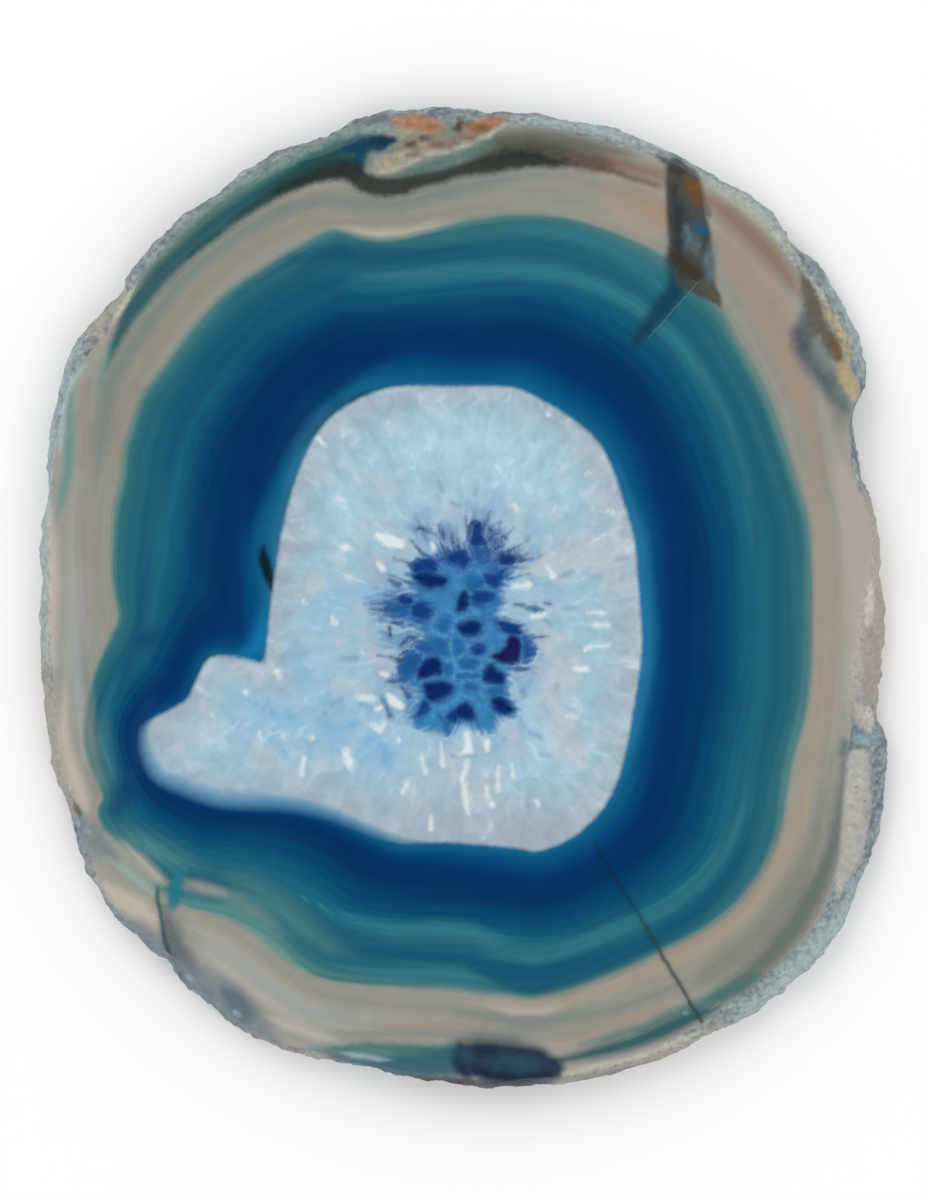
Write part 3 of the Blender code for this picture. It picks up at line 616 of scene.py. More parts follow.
# The druse's tones in the order in which each covers the ones before it: a purple haze over the
# quartz round it, the net of its crystals' ends, and the gaps between them, each deeper one darker.
HAZE = Gaps("haze", "#6189b3", (
    (-29, 86, -16, 90, -10, 72, 4, 70, 8, 94, 22, 100, 38, 90, 52, 76, 50, 60, 74, 56, 78, 44, 62, 34,
     30, 44, 0, 50, -30, 50, -32, 66),
    (-116, -2, -96, 8, -74, 12, -58, 12, -60, -26, -82, -30, -104, -24),
    (-98, -40, -80, -42, -66, -36, -52, -48, -64, -66, -80, -62, -96, -56),
    (-94, -102, -78, -90, -64, -106, -56, -124, -62, -152, -71, -136, -72, -118, -86, -110),
    (52, -82, 79, -84, 82, -90, 64, -94, 52, -90), (-64, 88, -44, 92, -38, 78, -44, 68, -56, 74),
), soft=0.9, ragged=0.4, strength=0.75, spiky=0.45)
VIOLET = Gaps("violet", "#2c5193", (
    (-66, 22, -62, 42, -40, 50, -26, 58, -6, 60, 4, 64, 10, 88, 22, 88, 28, 76, 42, 76, 44, 60, 66, 50,
     68, 44, 54, 34, 30, 36, 12, 40, 2, 34, -20, 40, -40, 30),
    (-77, -74, -70, -62, -50, -58, -36, -66, -34, -80, -50, -102, -72, -104, -80, -90),
    (-88, -4, -68, 2, -48, -2, -40, -14, -44, -28, -68, -30, -86, -22),
    (38, -29, 56, -28, 72, -36, 84, -58, 82, -72, 68, -82, 44, -81, 36, -72, 50, -60, 50, -42),
), ragged=0.6, spiky=0.35)
LAGOON = Gaps("lagoon", "#2c83b0", (
    (12, -113, 26, -115, 32, -126, 32, -142, 38, -160, 20, -158, 17, -140, 14, -126),
    (-54, -144, -34, -134, -23, -144, -30, -160, -56, -156),
    (-69, -116, -57, -120, -54, -130, -60, -142, -69, -134),
), soft=0.9, ragged=0.4, strength=0.6)
NET = Gaps("net", "#2a74ab", (
    (-62, 10, -63, 36, -54, 47, -34, 49, -26, 57, -5, 59, 12, 49, 32, 52, 56, 39, 57, 24, 49, 8, 50, -8,
     44, -24, 60, -30, 74, -42, 86, -58, 82, -76, 58, -83, 56, -106, 55, -116, 66, -136, 62, -145, 42, -149,
     39, -164, 16, -163, 4, -154, -6, -156, -18, -169, -34, -163, -60, -159, -62, -144, -55, -126,
     -62, -109, -79, -101, -78, -76, -66, -63, -52, -46, -66, -31, -84, -24, -99, -19, -97, -4, -76, 2),
), ragged=0.4, strength=0.95, spiky=0.25)
SHALLOW_GAPS = Gaps("shallow_gap", "#1c5b9a", (
    (3, 28, 16, 27, 23, 24, 27, 16, 21, 9, 10, 6, 3, 12),
    (-5, -74, 8, -72, 18, -76, 16, -86, 6, -90, -5, -86),
    (-8, -93, 5, -91, 19, -93, 19, -97, 5, -98.5, -8, -97),
    (2, -104, 16, -104, 18, -112, 12, -114, 3, -112),
    (-26, -23, -18, -24, -14, -30, -17, -40, -25, -43, -32, -34),
    (-76, -70, -62, -66, -52, -69, -53, -82, -60, -95, -72, -102, -77, -90),
    (-24, -82, -14, -82, -13, -94, -22, -97), (29, -110, 46, -109, 53, -116, 42, -120, 31, -120),
    (72, -48, 78, -52, 85, -58, 86, -68, 80, -76, 72, -74, 72, -62),
    (-34, -48, -22, -52, -16, -70, -24, -72, -36, -70, -56, -66, -62, -58, -48, -53),
    (-12, -48, -2, -52, 2, -64, -6, -72, -12, -64), (-31, -142, -22, -146, -16, -154, -19, -166, -26, -156),
    (12, 62, 26, 60, 29, 50, 18, 44, 12, 52), (-86, -9, -70, -9, -66, -19, -74, -22, -88, -19),
), soft=0.7, ragged=0.3, strength=0.8, deep=0.25, spiky=0.15)
MIDDLE_GAPS = Gaps("middle_gap", "#133f86", (
    (24, 29, 34, 30, 44, 32, 51, 36, 49, 26, 45, 16, 43, 11, 38, 11, 30, 14, 26, 19),
    (13, 9, 24, 9, 34, 7, 40, 3, 37, -4, 30, -8, 20, -10, 11, -8, 9, 0),
    (-62, -8, -54, -7, -45, -9, -38, -17, -40, -24, -49, -26, -59, -23, -64, -16),
    (8, -62, 14, -57, 22, -56, 27, -60, 26, -67, 20, -70, 12, -69),
    (-18, 52, -8, 55, 1, 56, 4, 49, 10, 46, 5, 42, 0.5, 35, -4, 40, -14, 42, -19, 46),
    (10, 88, 16, 92, 21, 86, 21, 76, 25, 66, 16, 62, 9, 66, 10, 76),
    (-50, -126, -43, -129, -41, -136, -49, -143, -59, -148, -56, -140),
    (-23, -145, -14, -138, -6, -134, -6, -150, -16, -152),
    (43, -31, 54, -30, 65, -36, 70, -44, 58, -44, 48, -40), (-76, 0, -65, -1, -62, -7, -70, -9, -78, -5),
    (-61, 30, -60, 42, -52, 45, -44, 47, -36, 45, -33, 38, -34, 30, -50, 32),
    (44, 49, 54, 51, 62, 47, 58, 41, 48, 41),
), soft=0.75, ragged=0.4, strength=0.95, deep=0.5, spiky=0.15)
DEEP_GAPS = Gaps("deep_gap", "#0b286c", (
    (-60, 26, -54, 30, -46, 30, -36, 29, -26, 26, -19, 23, -20, 18, -26, 13, -34, 11, -42, 10, -50, 14,
     -58, 20),
    (1, 9, 5, 5, 7, -4, 4, -13, -2, -17, -8, -16, -7, -6, -4, 4),
    (-9, -35, 2, -29, 12, -27, 20, -30, 22, -38, 18, -45, 8, -48, -2, -45),
    (29, -83, 35, -81, 40, -86, 48, -92, 51, -102, 46, -106, 36, -105, 27, -103, 23, -96, 25, -88),
    (-56, -89, -49, -78, -38, -72, -29, -74, -25, -84, -27, -94, -36, -95, -44, -98, -54, -98),
    (-47, -104, -36, -101, -24, -101, -15, -105, -11, -110, -15, -118, -22, -123, -32, -127, -42, -126,
     -47, -119, -49, -111),
    (-9, -134, -1, -128, 6, -129, 12, -136, 14, -146, 9, -150, -4, -148, -10, -142),
    (34, -123, 44, -120, 52, -124, 59, -131, 62, -138, 56, -142, 46, -142, 38, -137, 34, -130),
), soft=0.75, ragged=0.4, strength=0.97, deep=0.8, spiky=0.1)
PLUM_GAPS = Gaps("plum_gap", "#22205e", (
    (58, -46, 66, -49, 70, -56, 69, -68, 66, -78, 56, -80, 46, -78, 37, -74, 35, -70, 44, -66, 51, -60,
     53, -52),
), soft=0.55, ragged=0.3, strength=0.95, deep=0.9)
# Narrow gaps between the crystals round the druse.
STROKES = Stain("stroke", "#2b5587", (
    (9, 73, 2, 4, 86, 1.5, 2, 98, 0), (22, 76, 3, 28, 94, 1.5, 32, 104, 0),
    (30, 66, 3, 40, 82, 1.5, 46, 93, 0), (39, 59, 2.5, 52, 74, 1, 60, 84, 0),
    (50, 53, 3, 65, 62, 1.5, 78, 69, 0), (59, 43, 3, 74, 45, 1.5, 88, 49, 0),
    (-6, 58, 3, -8, 70, 1.5, -9, 80, 0), (-22, 56, 2.5, -29, 68, 1, -34, 78, 0),
    (-44, 48, 3, -56, 60, 1.5, -64, 70, 0), (-59, 38, 2.5, -73, 44, 1, -84, 48, 0),
    (-62, 16, 3, -78, 23, 1, -92, 28, 0), (-74, -32, 3, -89, -30, 1, -102, -29, 0),
    (-76, -76, 2.5, -90, -72, 1, -104, -70, 0), (82, -50, 2.5, 94, -48, 1, 104, -47, 0),
    (54, 22, 2.5, 68, 26, 1, 80, 28, 0), (-120, -9, 0, -98, -7, 1.5, -80, -8, 2),
    (-114, -14, 1, -87, -16.5, 3.5), (-104, -23, 0, -80, -22, 1.5), (-94, 4, 0.5, -70, 0, 1.5),
    (-74, -4, 3, -66, -2, 2), (-54, 85, 2.5, -45, 81, 3), (-29, 88, 1, -26, 78, 3, -24, 70, 2),
    (-15, 82, 1, -12, 67, 3.5), (10, 91, 1, 18, 86, 5, 16, 72, 5, 10, 64, 4),
    (29, 88, 1, 34, 80, 3, 42, 77, 1.5), (49, 75, 2, 43, 67, 2.5), (20, 62, 3, 28, 52, 4),
    (37, 63, 1, 33, 59, 2), (47, 56, 1.5, 39, 47, 3.5), (76, 52, 1, 64, 49, 3, 52, 43, 4, 42, 40, 2),
    (52, 32, 1, 30, 35, 2), (62, -8, 1, 73, -9.5, 2.5), (76, -12, 2, 87, -14, 4.5, 96, -15, 1),
    (46, -79, 1, 76, -79, 1), (54, -86, 1, 70, -87, 3, 80, -87, 1), (98, -6, 1, 108, -9, 1),
    (25, -24, 0.5, 25, -32, 1.5), (-56, -48, 2, -67, -50, 4, -76, -58, 2), (-90, -36, 2, -89, -46, 2),
    (-99, -120, 1, -93, -135, 3, -88, -146, 3), (-74, -110, 2, -66, -120, 4), (-88, 20, 3, -78, 15, 4),
    (-92, -102, 2, -80, -102, 2),
), soft=0.45, ragged=0.4)
# Clouded and dark specks farther out.
SPECKS = Stain("speck", "#6b8da4", (
    (-149, -73, 2, -132, -74, 4), (-172, -139, 1, -169, -141, 2), (-31, 123, 1, -30, 118, 2),
    (-14, 115, 2, -6, 112, 2), (24, 107, 1, 22, 103, 1.5), (17, 134, 1, 15, 126, 2),
    (-30, 140, 2, -26, 129, 2), (80, 73, 2, 76, 70, 2.5), (92, 54, 2, 93, 51, 2.5),
    (120, 26, 2, 132, 30, 3), (160, 26, 1, 168, 26, 1), (122, -12, 1.5, 138, -13, 1),
    (114, -106, 2, 113, -111, 2), (68, -149, 2, 73, -155, 2.5), (71, -114, 3, 74, -119, 3),
    (80, -164, 1, 94, -170, 2), (92, -190, 1, 106, -192, 2), (-13, -192, 1, 13, -192, 1),
    (-124, -130, 2, -110, -136, 2), (-160, -130, 1, -148, -124, 2), (-236, -122, 1, -232, -129, 2),
    (-224, -184, 1, -218, -190, 2), (78, -248, 2, 80, -264, 2), (186, 46, 2, 196, 48, 2),
    (-59, 100, 1, -54, 92, 2), (100, -28, 2, 106, -34, 2),
), soft=0.5, ragged=0.4, strength=0.6)
# Painted highlights: facets of quartz that lie square to the light and shine white,
# drawn in as near-white colour.
GLINTS = Stain("glint", "#e4ecee", (
    (-104, 75, 4, -89, 68, 8, -76, 65, 5), (-148, 61, 3, -140, 60, 3), (-102, 40, 3, -98, 34, 3),
    (102, 38, 1, 108, 26, 3.5), (60, 13, 2, 78, 15, 4), (-128, -122, 2, -110, -122, 3.5),
    (-92, -118, 2, -84, -126, 6, -75, -132, 4), (-106, -135, 2, -100, -134, 2),
    (-114, -152, 1, -102, -160, 4, -96, -154, 2), (84, -23, 2, 98, -21, 2), (62, 112, 2, 64, 107, 2.5),
    (-159, -24, 3, -156, -31, 3.5), (-227, -90, 3, -224, -96, 3), (-190, -169, 2, -184, -170, 3),
    (-219, -166, 1.5, -215, -170, 2), (-268, -112, 2, -263, -116, 2.5), (-248, -164, 2.5, -245, -171, 2),
    (-27, -178, 1, -25, -204, 2.5), (4, -166, 3, 6, -186, 5, -6, -190, 2), (29, -176, 3.5, 29, -185, 3),
    (5, -198, 2, -1, -220, 3, 3, -244, 2.5, 6, -262, 2), (42, -204, 1, 42, -234, 2),
    (60, -204, 1.5, 60, -218, 2), (28, -230, 1.5, 30, -242, 2.5), (34, -251, 3, 36, -253, 3),
    (-144, -186, 3.5, -140, -198, 5.5, -137, -208, 2), (-51, -194, 1, -47, -212, 2.5),
    (-194, -196, 2.5, -197, -214, 3), (-66, -222, 1.5, -74, -236, 2), (-39, -266, 1, -40, -282, 1.5),
    (160, -33, 2.5, 176, -34, 3), (152, -18, 1, 172, -19, 1.5), (148, -64, 3, 152, -60, 1.5, 176, -58, 1),
    (136, -87, 3, 149, -87, 3.5), (124, -144, 1, 140, -145, 1.5), (170, 106, 2, 180, 103, 2),
    (150, 152, 2, 152, 150, 2.5), (-176, 194, 2, -170, 186, 3), (-150, 120, 2, -146, 118, 2.5),
    (-194, -4, 1, -192, -8, 2), (-37, 64, 1.5, -37, 58, 2), (-100, -92, 2, -94, -94, 3),
    (102, 224, 1.5, 105, 222, 2), (-79, -170, 1, -78, -174, 2), (-124, -64, 1, -123, -67, 1.5),
    (88, -246, 2, 90, -252, 2), (136, -130, 1, 130, -132, 1),
), soft=0.4, ragged=0.35)
DARK_GAPS = (SHALLOW_GAPS, MIDDLE_GAPS, DEEP_GAPS, PLUM_GAPS)
DRUSE_TONES = (HAZE, NET, VIOLET, LAGOON, *DARK_GAPS, STROKES, SPECKS, GLINTS)


def linear(colour: str) -> tuple[float, float, float, float]:
    """Turns an sRGB colour to linear light.

    Args:
        colour: A hex value such as "#1d5a66".

    Returns:
        Linear red, green and blue, and an alpha of 1.
    """
    parts = [int(colour[i : i + 2], 16) / 255 for i in (1, 3, 5)]
    red, green, blue = (c / 12.92 if c <= 0.04045 else ((c + 0.055) / 1.055) ** 2.4 for c in parts)
    return red, green, blue, 1.0


def smooth_outline(points: Path, steps: int = 8) -> Array:
    """Draws a smooth closed curve through points.

    Args:
        points: The x and y of each point, in order round the curve, in tenths of a millimetre.
        steps: How many places to give for each point.

    Returns:
        Places along the curve in millimetres, one row each.
    """
    through = np.array(points).reshape(-1, 2) / TENTHS
    before, after, beyond = (np.roll(through, shift, axis=0) for shift in (1, -1, -2))
    rows = []
    for share in np.arange(steps) / steps:
        rows.append(0.5 * (
            2 * through
            + (after - before) * share
            + (2 * before - 5 * through + 4 * after - beyond) * share**2
            + (3 * through - before - 3 * after + beyond) * share**3
        ))
    return np.stack(rows, axis=1).reshape(-1, 2)


def distance_outside(places: Array, outline: Array) -> Array:
    """Measures how far places lie from a closed outline.

    Args:
        places: The places, one row each.
        outline: The outline's corners, one row each.

    Returns:
        The distance of each place, negative inside the outline.
    """
    nearest = np.full(len(places), np.inf)
    inside = np.zeros(len(places), bool)
    x, y = places.T
    for (ax, ay), (bx, by) in zip(outline, np.roll(outline, -1, axis=0)):
        dx, dy = bx - ax, by - ay
        share = np.clip(((x - ax) * dx + (y - ay) * dy) / (dx * dx + dy * dy), 0.0, 1.0)
        nearest = np.minimum(nearest, (x - ax - share * dx) ** 2 + (y - ay - share * dy) ** 2)
        if ay != by:
            crosses = ((ay > y) != (by > y)) & (x < dx * (y - ay) / dy + ax)
            inside ^= crosses
    return np.where(inside, -1.0, 1.0) * np.sqrt(nearest)


def add_to_scene(name: str, data: bpy.types.ID) -> bpy.types.Object:
    """Adds an object of this mesh, lamp or camera to the scene, and gives it."""
    made = bpy.data.objects.new(name, data)
    bpy.context.scene.collection.objects.link(made)
    return made


class CadShape:
    """The exact shape of one of the frame's nodes, for finding where lines meet it."""

    def __init__(self, name: str) -> None:
        """Reads the node's faces.

        Args:
            name: The node's name.
        """
        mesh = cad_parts[name].data
        corners = [vertex.co for vertex in mesh.vertices]
        self.tree = BVHTree.FromPolygons(corners, [face.vertices for face in mesh.polygons])
        self.low, self.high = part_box(name)

    def first_hit(self, start: Vector, way: Vector) -> Vector | None:
        """Where a line from start first meets the shape, or None where it misses."""
        return self.tree.ray_cast(start, way)[0]

    def reach(self, way: Vector, height: float, inwards: bool = True) -> float:
        """Measures how far out the shape reaches from the heart.

        Args:
            way: The level direction.
            height: The height of the line.
            inwards: Whether the line comes in from outside, or starts at the heart.

        Returns:
            The distance from the heart.
        """
        heart = Vector((*HEART_MM, 0.0)) * MM + Vector((0.0, 0.0, height))
        far = 2 * (self.high - self.low).length
        start = heart + way * far if inwards else heart
        hit = self.first_hit(start, -way if inwards else way)
        return (hit - heart).length


@dataclass
class Lattice:
    """A closed mesh of rings of equally many places, each joined to the next.

    The first and the last ring have no width, so that they close the mesh.

    Attributes:
        rings: For each ring, its places in metres.
        zones: For each band of faces between two rings, the material of each face.
        maps: For each band of faces, where the four corners of each face lie on the bake map.
    """

    rings: list[Array]
    zones: list[Array] = field(default_factory=list)
    maps: list[Array] = field(default_factory=list)

    def places(self) -> Array:
        """All the places, ring after ring."""
        return np.concatenate(self.rings)

    def band(self, corners: Array, zone: int | Array = 0) -> None:
        """Adds the next band of faces: its corners on the bake map, and each one's material."""
        self.maps.append(corners)
        self.zones.append(np.full(len(corners), zone))

    def build(self, name: str, materials: list[bpy.types.Material],
              fields: dict[str, Array], crease: float) -> bpy.types.Object:
        """Makes the piece.

        Args:
            name: The piece's name.
            materials: Its materials.
            fields: For each name, one number for each place, which the materials read by name.
            crease: The angle in degrees from which an edge between two faces is sharp.

        Returns:
            The piece.
        """
        count = len(self.rings[0])
        around = np.arange(count)
        onward = (around + 1) % count
        quad = np.stack((around, onward, onward + count, around + count), axis=1)
        faces = np.concatenate([quad + i * count for i in range(len(self.maps))])
        mesh = bpy.data.meshes.new(name)
        mesh.from_pydata(self.places().tolist(), [], faces.tolist())
        layer = mesh.uv_layers.new(name="OFBake")
        layer.data.foreach_set("uv", np.concatenate(self.maps).ravel().astype(np.float32))
        mesh.polygons.foreach_set("material_index", np.concatenate(self.zones))
        for material in materials:
            mesh.materials.append(material)
        for title, values in fields.items():
            attribute = mesh.attributes.new(title, "FLOAT", "POINT")
            attribute.data.foreach_set("value", np.asarray(values, np.float32))
        shell = bmesh.new()
        shell.from_mesh(mesh)
        bmesh.ops.remove_doubles(shell, verts=shell.verts, dist=1e-8)
        bmesh.ops.recalc_face_normals(shell, faces=shell.faces)
        last = len(materials) - 1
        steepest = math.radians(crease)
        for edge in shell.edges:
            # The polished face meets the rind, the last material, at a sharp edge.
            rough = [face.material_index == last for face in edge.link_faces]
            edge.smooth = any(rough) == all(rough) and edge.calc_face_angle(0.0) < steepest
        for face in shell.faces:
            face.smooth = True
        shell.to_mesh(mesh)
        shell.free()
        return add_to_scene(name, mesh)


def corners(low: Array, high: Array) -> Array:
    """Pairs two rings' places on a bake map into the corners of the faces between them.

    Args:
        low: The first ring's places, with or without the first one again at the end.
        high: The second ring's places, in the same way.

    Returns:
        Four corners for each face.
    """
    closed = [side if len(side) % 2 else np.concatenate((side, side[:1])) for side in (low, high)]
    low, high = closed
    return np.stack((low[:-1], low[1:], high[1:], high[:-1]), axis=1)


class Growth:
    """How the stone grew: how far each place lies through its layers."""

    def __init__(self, rim: Array) -> None:
        """Prepares the layers' edges.

        Args:
            rim: The edge of the polished face in millimetres.
        """
        self.quartz = smooth_outline(QUARTZ_EDGE)
        self.dye = smooth_outline(DYE_EDGE)
        self.rim = rim

    def fields(self, places: Array) -> dict[str, Array]:
        """Works out what the stone's materials need to know at each place.

        Args:
            places: Places on the face in millimetres, one row each.

        Returns:
            For each attribute's name, its numbers.
        """
        quartz = distance_outside(places, self.quartz)
        dye = distance_outside(places, self.dye)
        rim = distance_outside(places, self.rim)
        dyed = np.abs(quartz) / (np.abs(quartz) + np.abs(dye))
        pale = 1.0 + dye / np.maximum(dye + np.abs(rim), 0.1)
        undyed = np.where(rim < 0, pale, 2.0 + rim)
        band = np.where(quartz < 0, 0.0, np.where(dye < 0, dyed, undyed))
        x, y = (places - HEART_MM).T
        turn = np.degrees(np.arctan2(y, x)) % 360
        # The shift fades out at the quartz and where the dye stops.
        shift = np.interp(turn, *zip(*DYE_SHIFT), period=360) * np.clip(1.2 * (1 - band), 0.0, 1.0)
        shift = shift * np.clip(5.0 * band, 0.0, 1.0)
        found = {"quartz_mm": quartz, "band": band, "dye_shift": shift}
        for stain in (*LAYERS, *STAINS, *LEAF, *RIND_TONES, *QUARTZ_TONES, *DRUSE_TONES, HALO):
            found[stain.name] = stain.depth(places)
        return found


class Nodes:
    """The node tree of a material or of the world, with what the stone's finishes share."""

    def __init__(self, owner: bpy.types.Material | bpy.types.World) -> None:
        """Empties the node tree of a material or world."""
        self.owner = owner
        owner.use_nodes = True
        self.tree = owner.node_tree
        self.tree.nodes.clear()

    def add(self, kind: str, inputs: dict | None = None, output: int | str = 0,
            stops: tuple[tuple[float, str], ...] = (), **settings: object) -> Socket:
        """Adds a node with its settings and links.

        Args:
            kind: The node's type.
            inputs: For each input, by name or number, the socket that feeds it or its value.
            output: The wanted output, by name or number.
            stops: A colour ramp's places and sRGB colours.
            settings: The node's own settings.

        Returns:
            The wanted output.
        """
        node = self.tree.nodes.new("ShaderNode" + kind)
        for name, value in settings.items():
            setattr(node, name, value)
        for i, (place, colour) in enumerate(stops):
            ramp = node.color_ramp.elements
            stop = ramp[i] if i < len(ramp) else ramp.new(place)
            stop.position = place
            stop.color = linear(colour)
        for name, value in (inputs or {}).items():
            if isinstance(value, Socket):
                self.tree.links.new(value, node.inputs[name])
            else:
                node.inputs[name].default_value = value
        return node.outputs[output]

    def finish(self, shader: Socket) -> bpy.types.Material | bpy.types.World:
        """Makes the shader the owner's surface, and gives the owner."""
        output = self.tree.nodes.new(f"ShaderNodeOutput{type(self.owner).__name__}")
        self.tree.links.new(shader, output.inputs["Surface"])
        return self.owner

    def read(self, name: str) -> Socket:
        """The number that the mesh keeps at each place under this name."""
        return self.add("Attribute", output="Fac", attribute_name=name)

    def mix(self, share: object, below: object, above: object) -> Socket:
        """Lays one colour over another.

        Args:
            share: How much the upper colour covers.
            below: The lower colour.
            above: The upper colour, as a socket or an sRGB hex value.

        Returns:
            The mixed colour.
        """
        colours = [linear(c) if isinstance(c, str) else c for c in (below, above)]
        return self.add("Mix", {0: share, 6: colours[0], 7: colours[1]}, 2, data_type="RGBA")

    def brighten(self, colour: Socket, pattern: Socket, amount: float) -> Socket:
        """Makes a colour lighter and darker with a pattern.

        Args:
            colour: The colour.
            pattern: The pattern, from 0 to 1 with a mean of about a half.
            amount: How far the brightness moves from the darkest to the lightest.

        Returns:
            The varied colour.
        """
        gain = self.add("MapRange", {0: pattern, 3: 1 - amount / 2, 4: 1 + amount / 2})
        return self.add("VectorMath", {0: colour, "Scale": gain}, operation="SCALE")

    def step(self, value: Socket, start: float, end: float, low: float = 0.0,
             high: float = 1.0) -> Socket:
        """A smooth climb of a value from low at start to high at end."""
        return self.add("MapRange", {0: value, 1: start, 2: end, 3: low, 4: high},
                        interpolation_type="SMOOTHSTEP")

    def sum(self, *terms: object, start: float = 0.0) -> Socket:
        """Adds up products.

        Args:
            terms: Pairs of a socket and the socket or number it is multiplied by.
            start: A number to add.

        Returns:
            The sum.
        """
        total = start
        for socket, factor in terms:
            total = self.add("Math", {0: socket, 1: factor, 2: total}, operation="MULTIPLY_ADD")
        return total


class StoneNodes(Nodes):
    """The patterns that the stone's materials draw on."""

    def __init__(self, name: str) -> None:
        """Starts a material with the place on the stone, the way out from its heart and grain.

        Args:
            name: The material's name.
        """
        super().__init__(bpy.data.materials.new(name))
        place = self.add("TexCoord", output="Object")
        self.place = self.add("VectorMath", {0: place, "Scale": 1 / MM}, operation="SCALE")
        away = self.add("VectorMath", {0: self.place, 1: (*HEART_MM, 0.0)}, operation="SUBTRACT")
        level = self.add("VectorMath", {0: away, 1: (1.0, 1.0, 0.0)}, operation="MULTIPLY")
        self.out = self.add("VectorMath", {0: level}, "Value", operation="LENGTH")
        self.way = self.add("VectorMath", {0: level}, operation="NORMALIZE")
        # Grain of 0.7 mm and lumps of 2.5 mm, about the size of the rind's crystals and knobs.
        self.fine = self.add("TexNoise", {"Vector": self.place, "Scale": 1.4, "Detail": 3.0})
        self.coarse = self.add("TexNoise", {"Vector": self.place, "Scale": 0.4, "Detail": 2.0})
        # Layers about 1 mm and 0.3 mm thick. Real ones are a tenth of that: these can be seen.
        self.layer = self.along_layers(1.3, 17.0, 1.0)
        self.leaf = self.along_layers(2.4, 60.0, 2.0)

    def along_layers(self, round_scale: float, layer_scale: float, detail: float) -> Socket:
        """A pattern drawn out along the stone's layers.

        Args:
            round_scale: How often it changes round the stone.
            layer_scale: How often it changes through the layers.
            detail: How fine its smallest changes are.

        Returns:
            The pattern, from 0 to 1.
        """
        sideways = self.add("VectorMath", {0: self.way, "Scale": round_scale}, operation="SCALE")
        depth = self.sum((self.read("band"), layer_scale))
        upright = self.add("CombineXYZ", {"Z": depth})
        where = self.add("VectorMath", {0: sideways, 1: upright}, operation="ADD")
        return self.add("TexNoise", {"Vector": where, "Scale": 1.0, "Detail": detail,
                                     "Roughness": 0.6})

    def inside(self, stain: Stain) -> Socket:
        """How much of the stone a marking covers, from 0 to its strength."""
        wander = [(self.fine, 2 * stain.ragged), (self.leaf, 2 * stain.streak)]
        depth = self.sum((self.read(stain.name), 1.0), *(pair for pair in wander if pair[1]))
        middle = stain.ragged + stain.streak
        return self.step(depth, middle - stain.soft, middle + stain.soft, high=stain.strength)

    def mark(self, colour: Socket, stain: Stain) -> Socket:
        """Lays a marking over a colour, and gives the colour that results."""
        shade = self.add("RGB")
        shade.default_value = linear(stain.colour)
        if stain.grain:
            shade = self.brighten(shade, self.speckle, 1.6 * stain.grain)
        return self.mix(self.inside(stain), colour, shade)

    def crack(self, colour: Socket, fracture: Fracture) -> Socket:
        """Draws a fracture over a colour, and gives the colour that results."""
        start = Vector((*fracture.start, 0.0))
        span = Vector((*fracture.end, 0.0)) - start
        off = self.add("VectorMath", {0: self.place, 1: start}, operation="SUBTRACT")
        run = self.add("VectorMath", {0: off, 1: span.normalized()}, "Value",
                       operation="DOT_PRODUCT")
        across = Vector((-span.y, span.x, 0.0)).normalized()
        side = self.add("VectorMath", {0: off, 1: across}, "Value", operation="DOT_PRODUCT")
        wander = self.sum((side, 1.0), (self.fine, 0.3), (self.coarse, 0.5), start=-0.4)
        distance = self.add("Math", {0: wander}, operation="ABSOLUTE")
        finish = self.step(run, span.length + 0.3, span.length - 0.3)
        ends = self.sum((self.step(run, -0.3, 0.3), finish))
        line = self.step(distance, fracture.width, fracture.width * 0.3, high=fracture.strength)
        shade = self.step(distance, fracture.shade, 0.0, high=fracture.shade_strength)
        darker = self.mix(self.sum((shade, ends)), colour, "#0c1f28")
        return self.mix(self.sum((line, ends)), darker, fracture.colour)

    @property
    def speckle(self) -> Socket:
        """A pattern of crystals about 0.6 mm across, each of one brightness from 0 to 1."""
        if not hasattr(self, "_speckle"):
            cells = self.add("TexVoronoi", {"Vector": self.place, "Scale": 1.7}, "Color")
            self._speckle = self.add("SeparateColor", {0: cells})
        return self._speckle


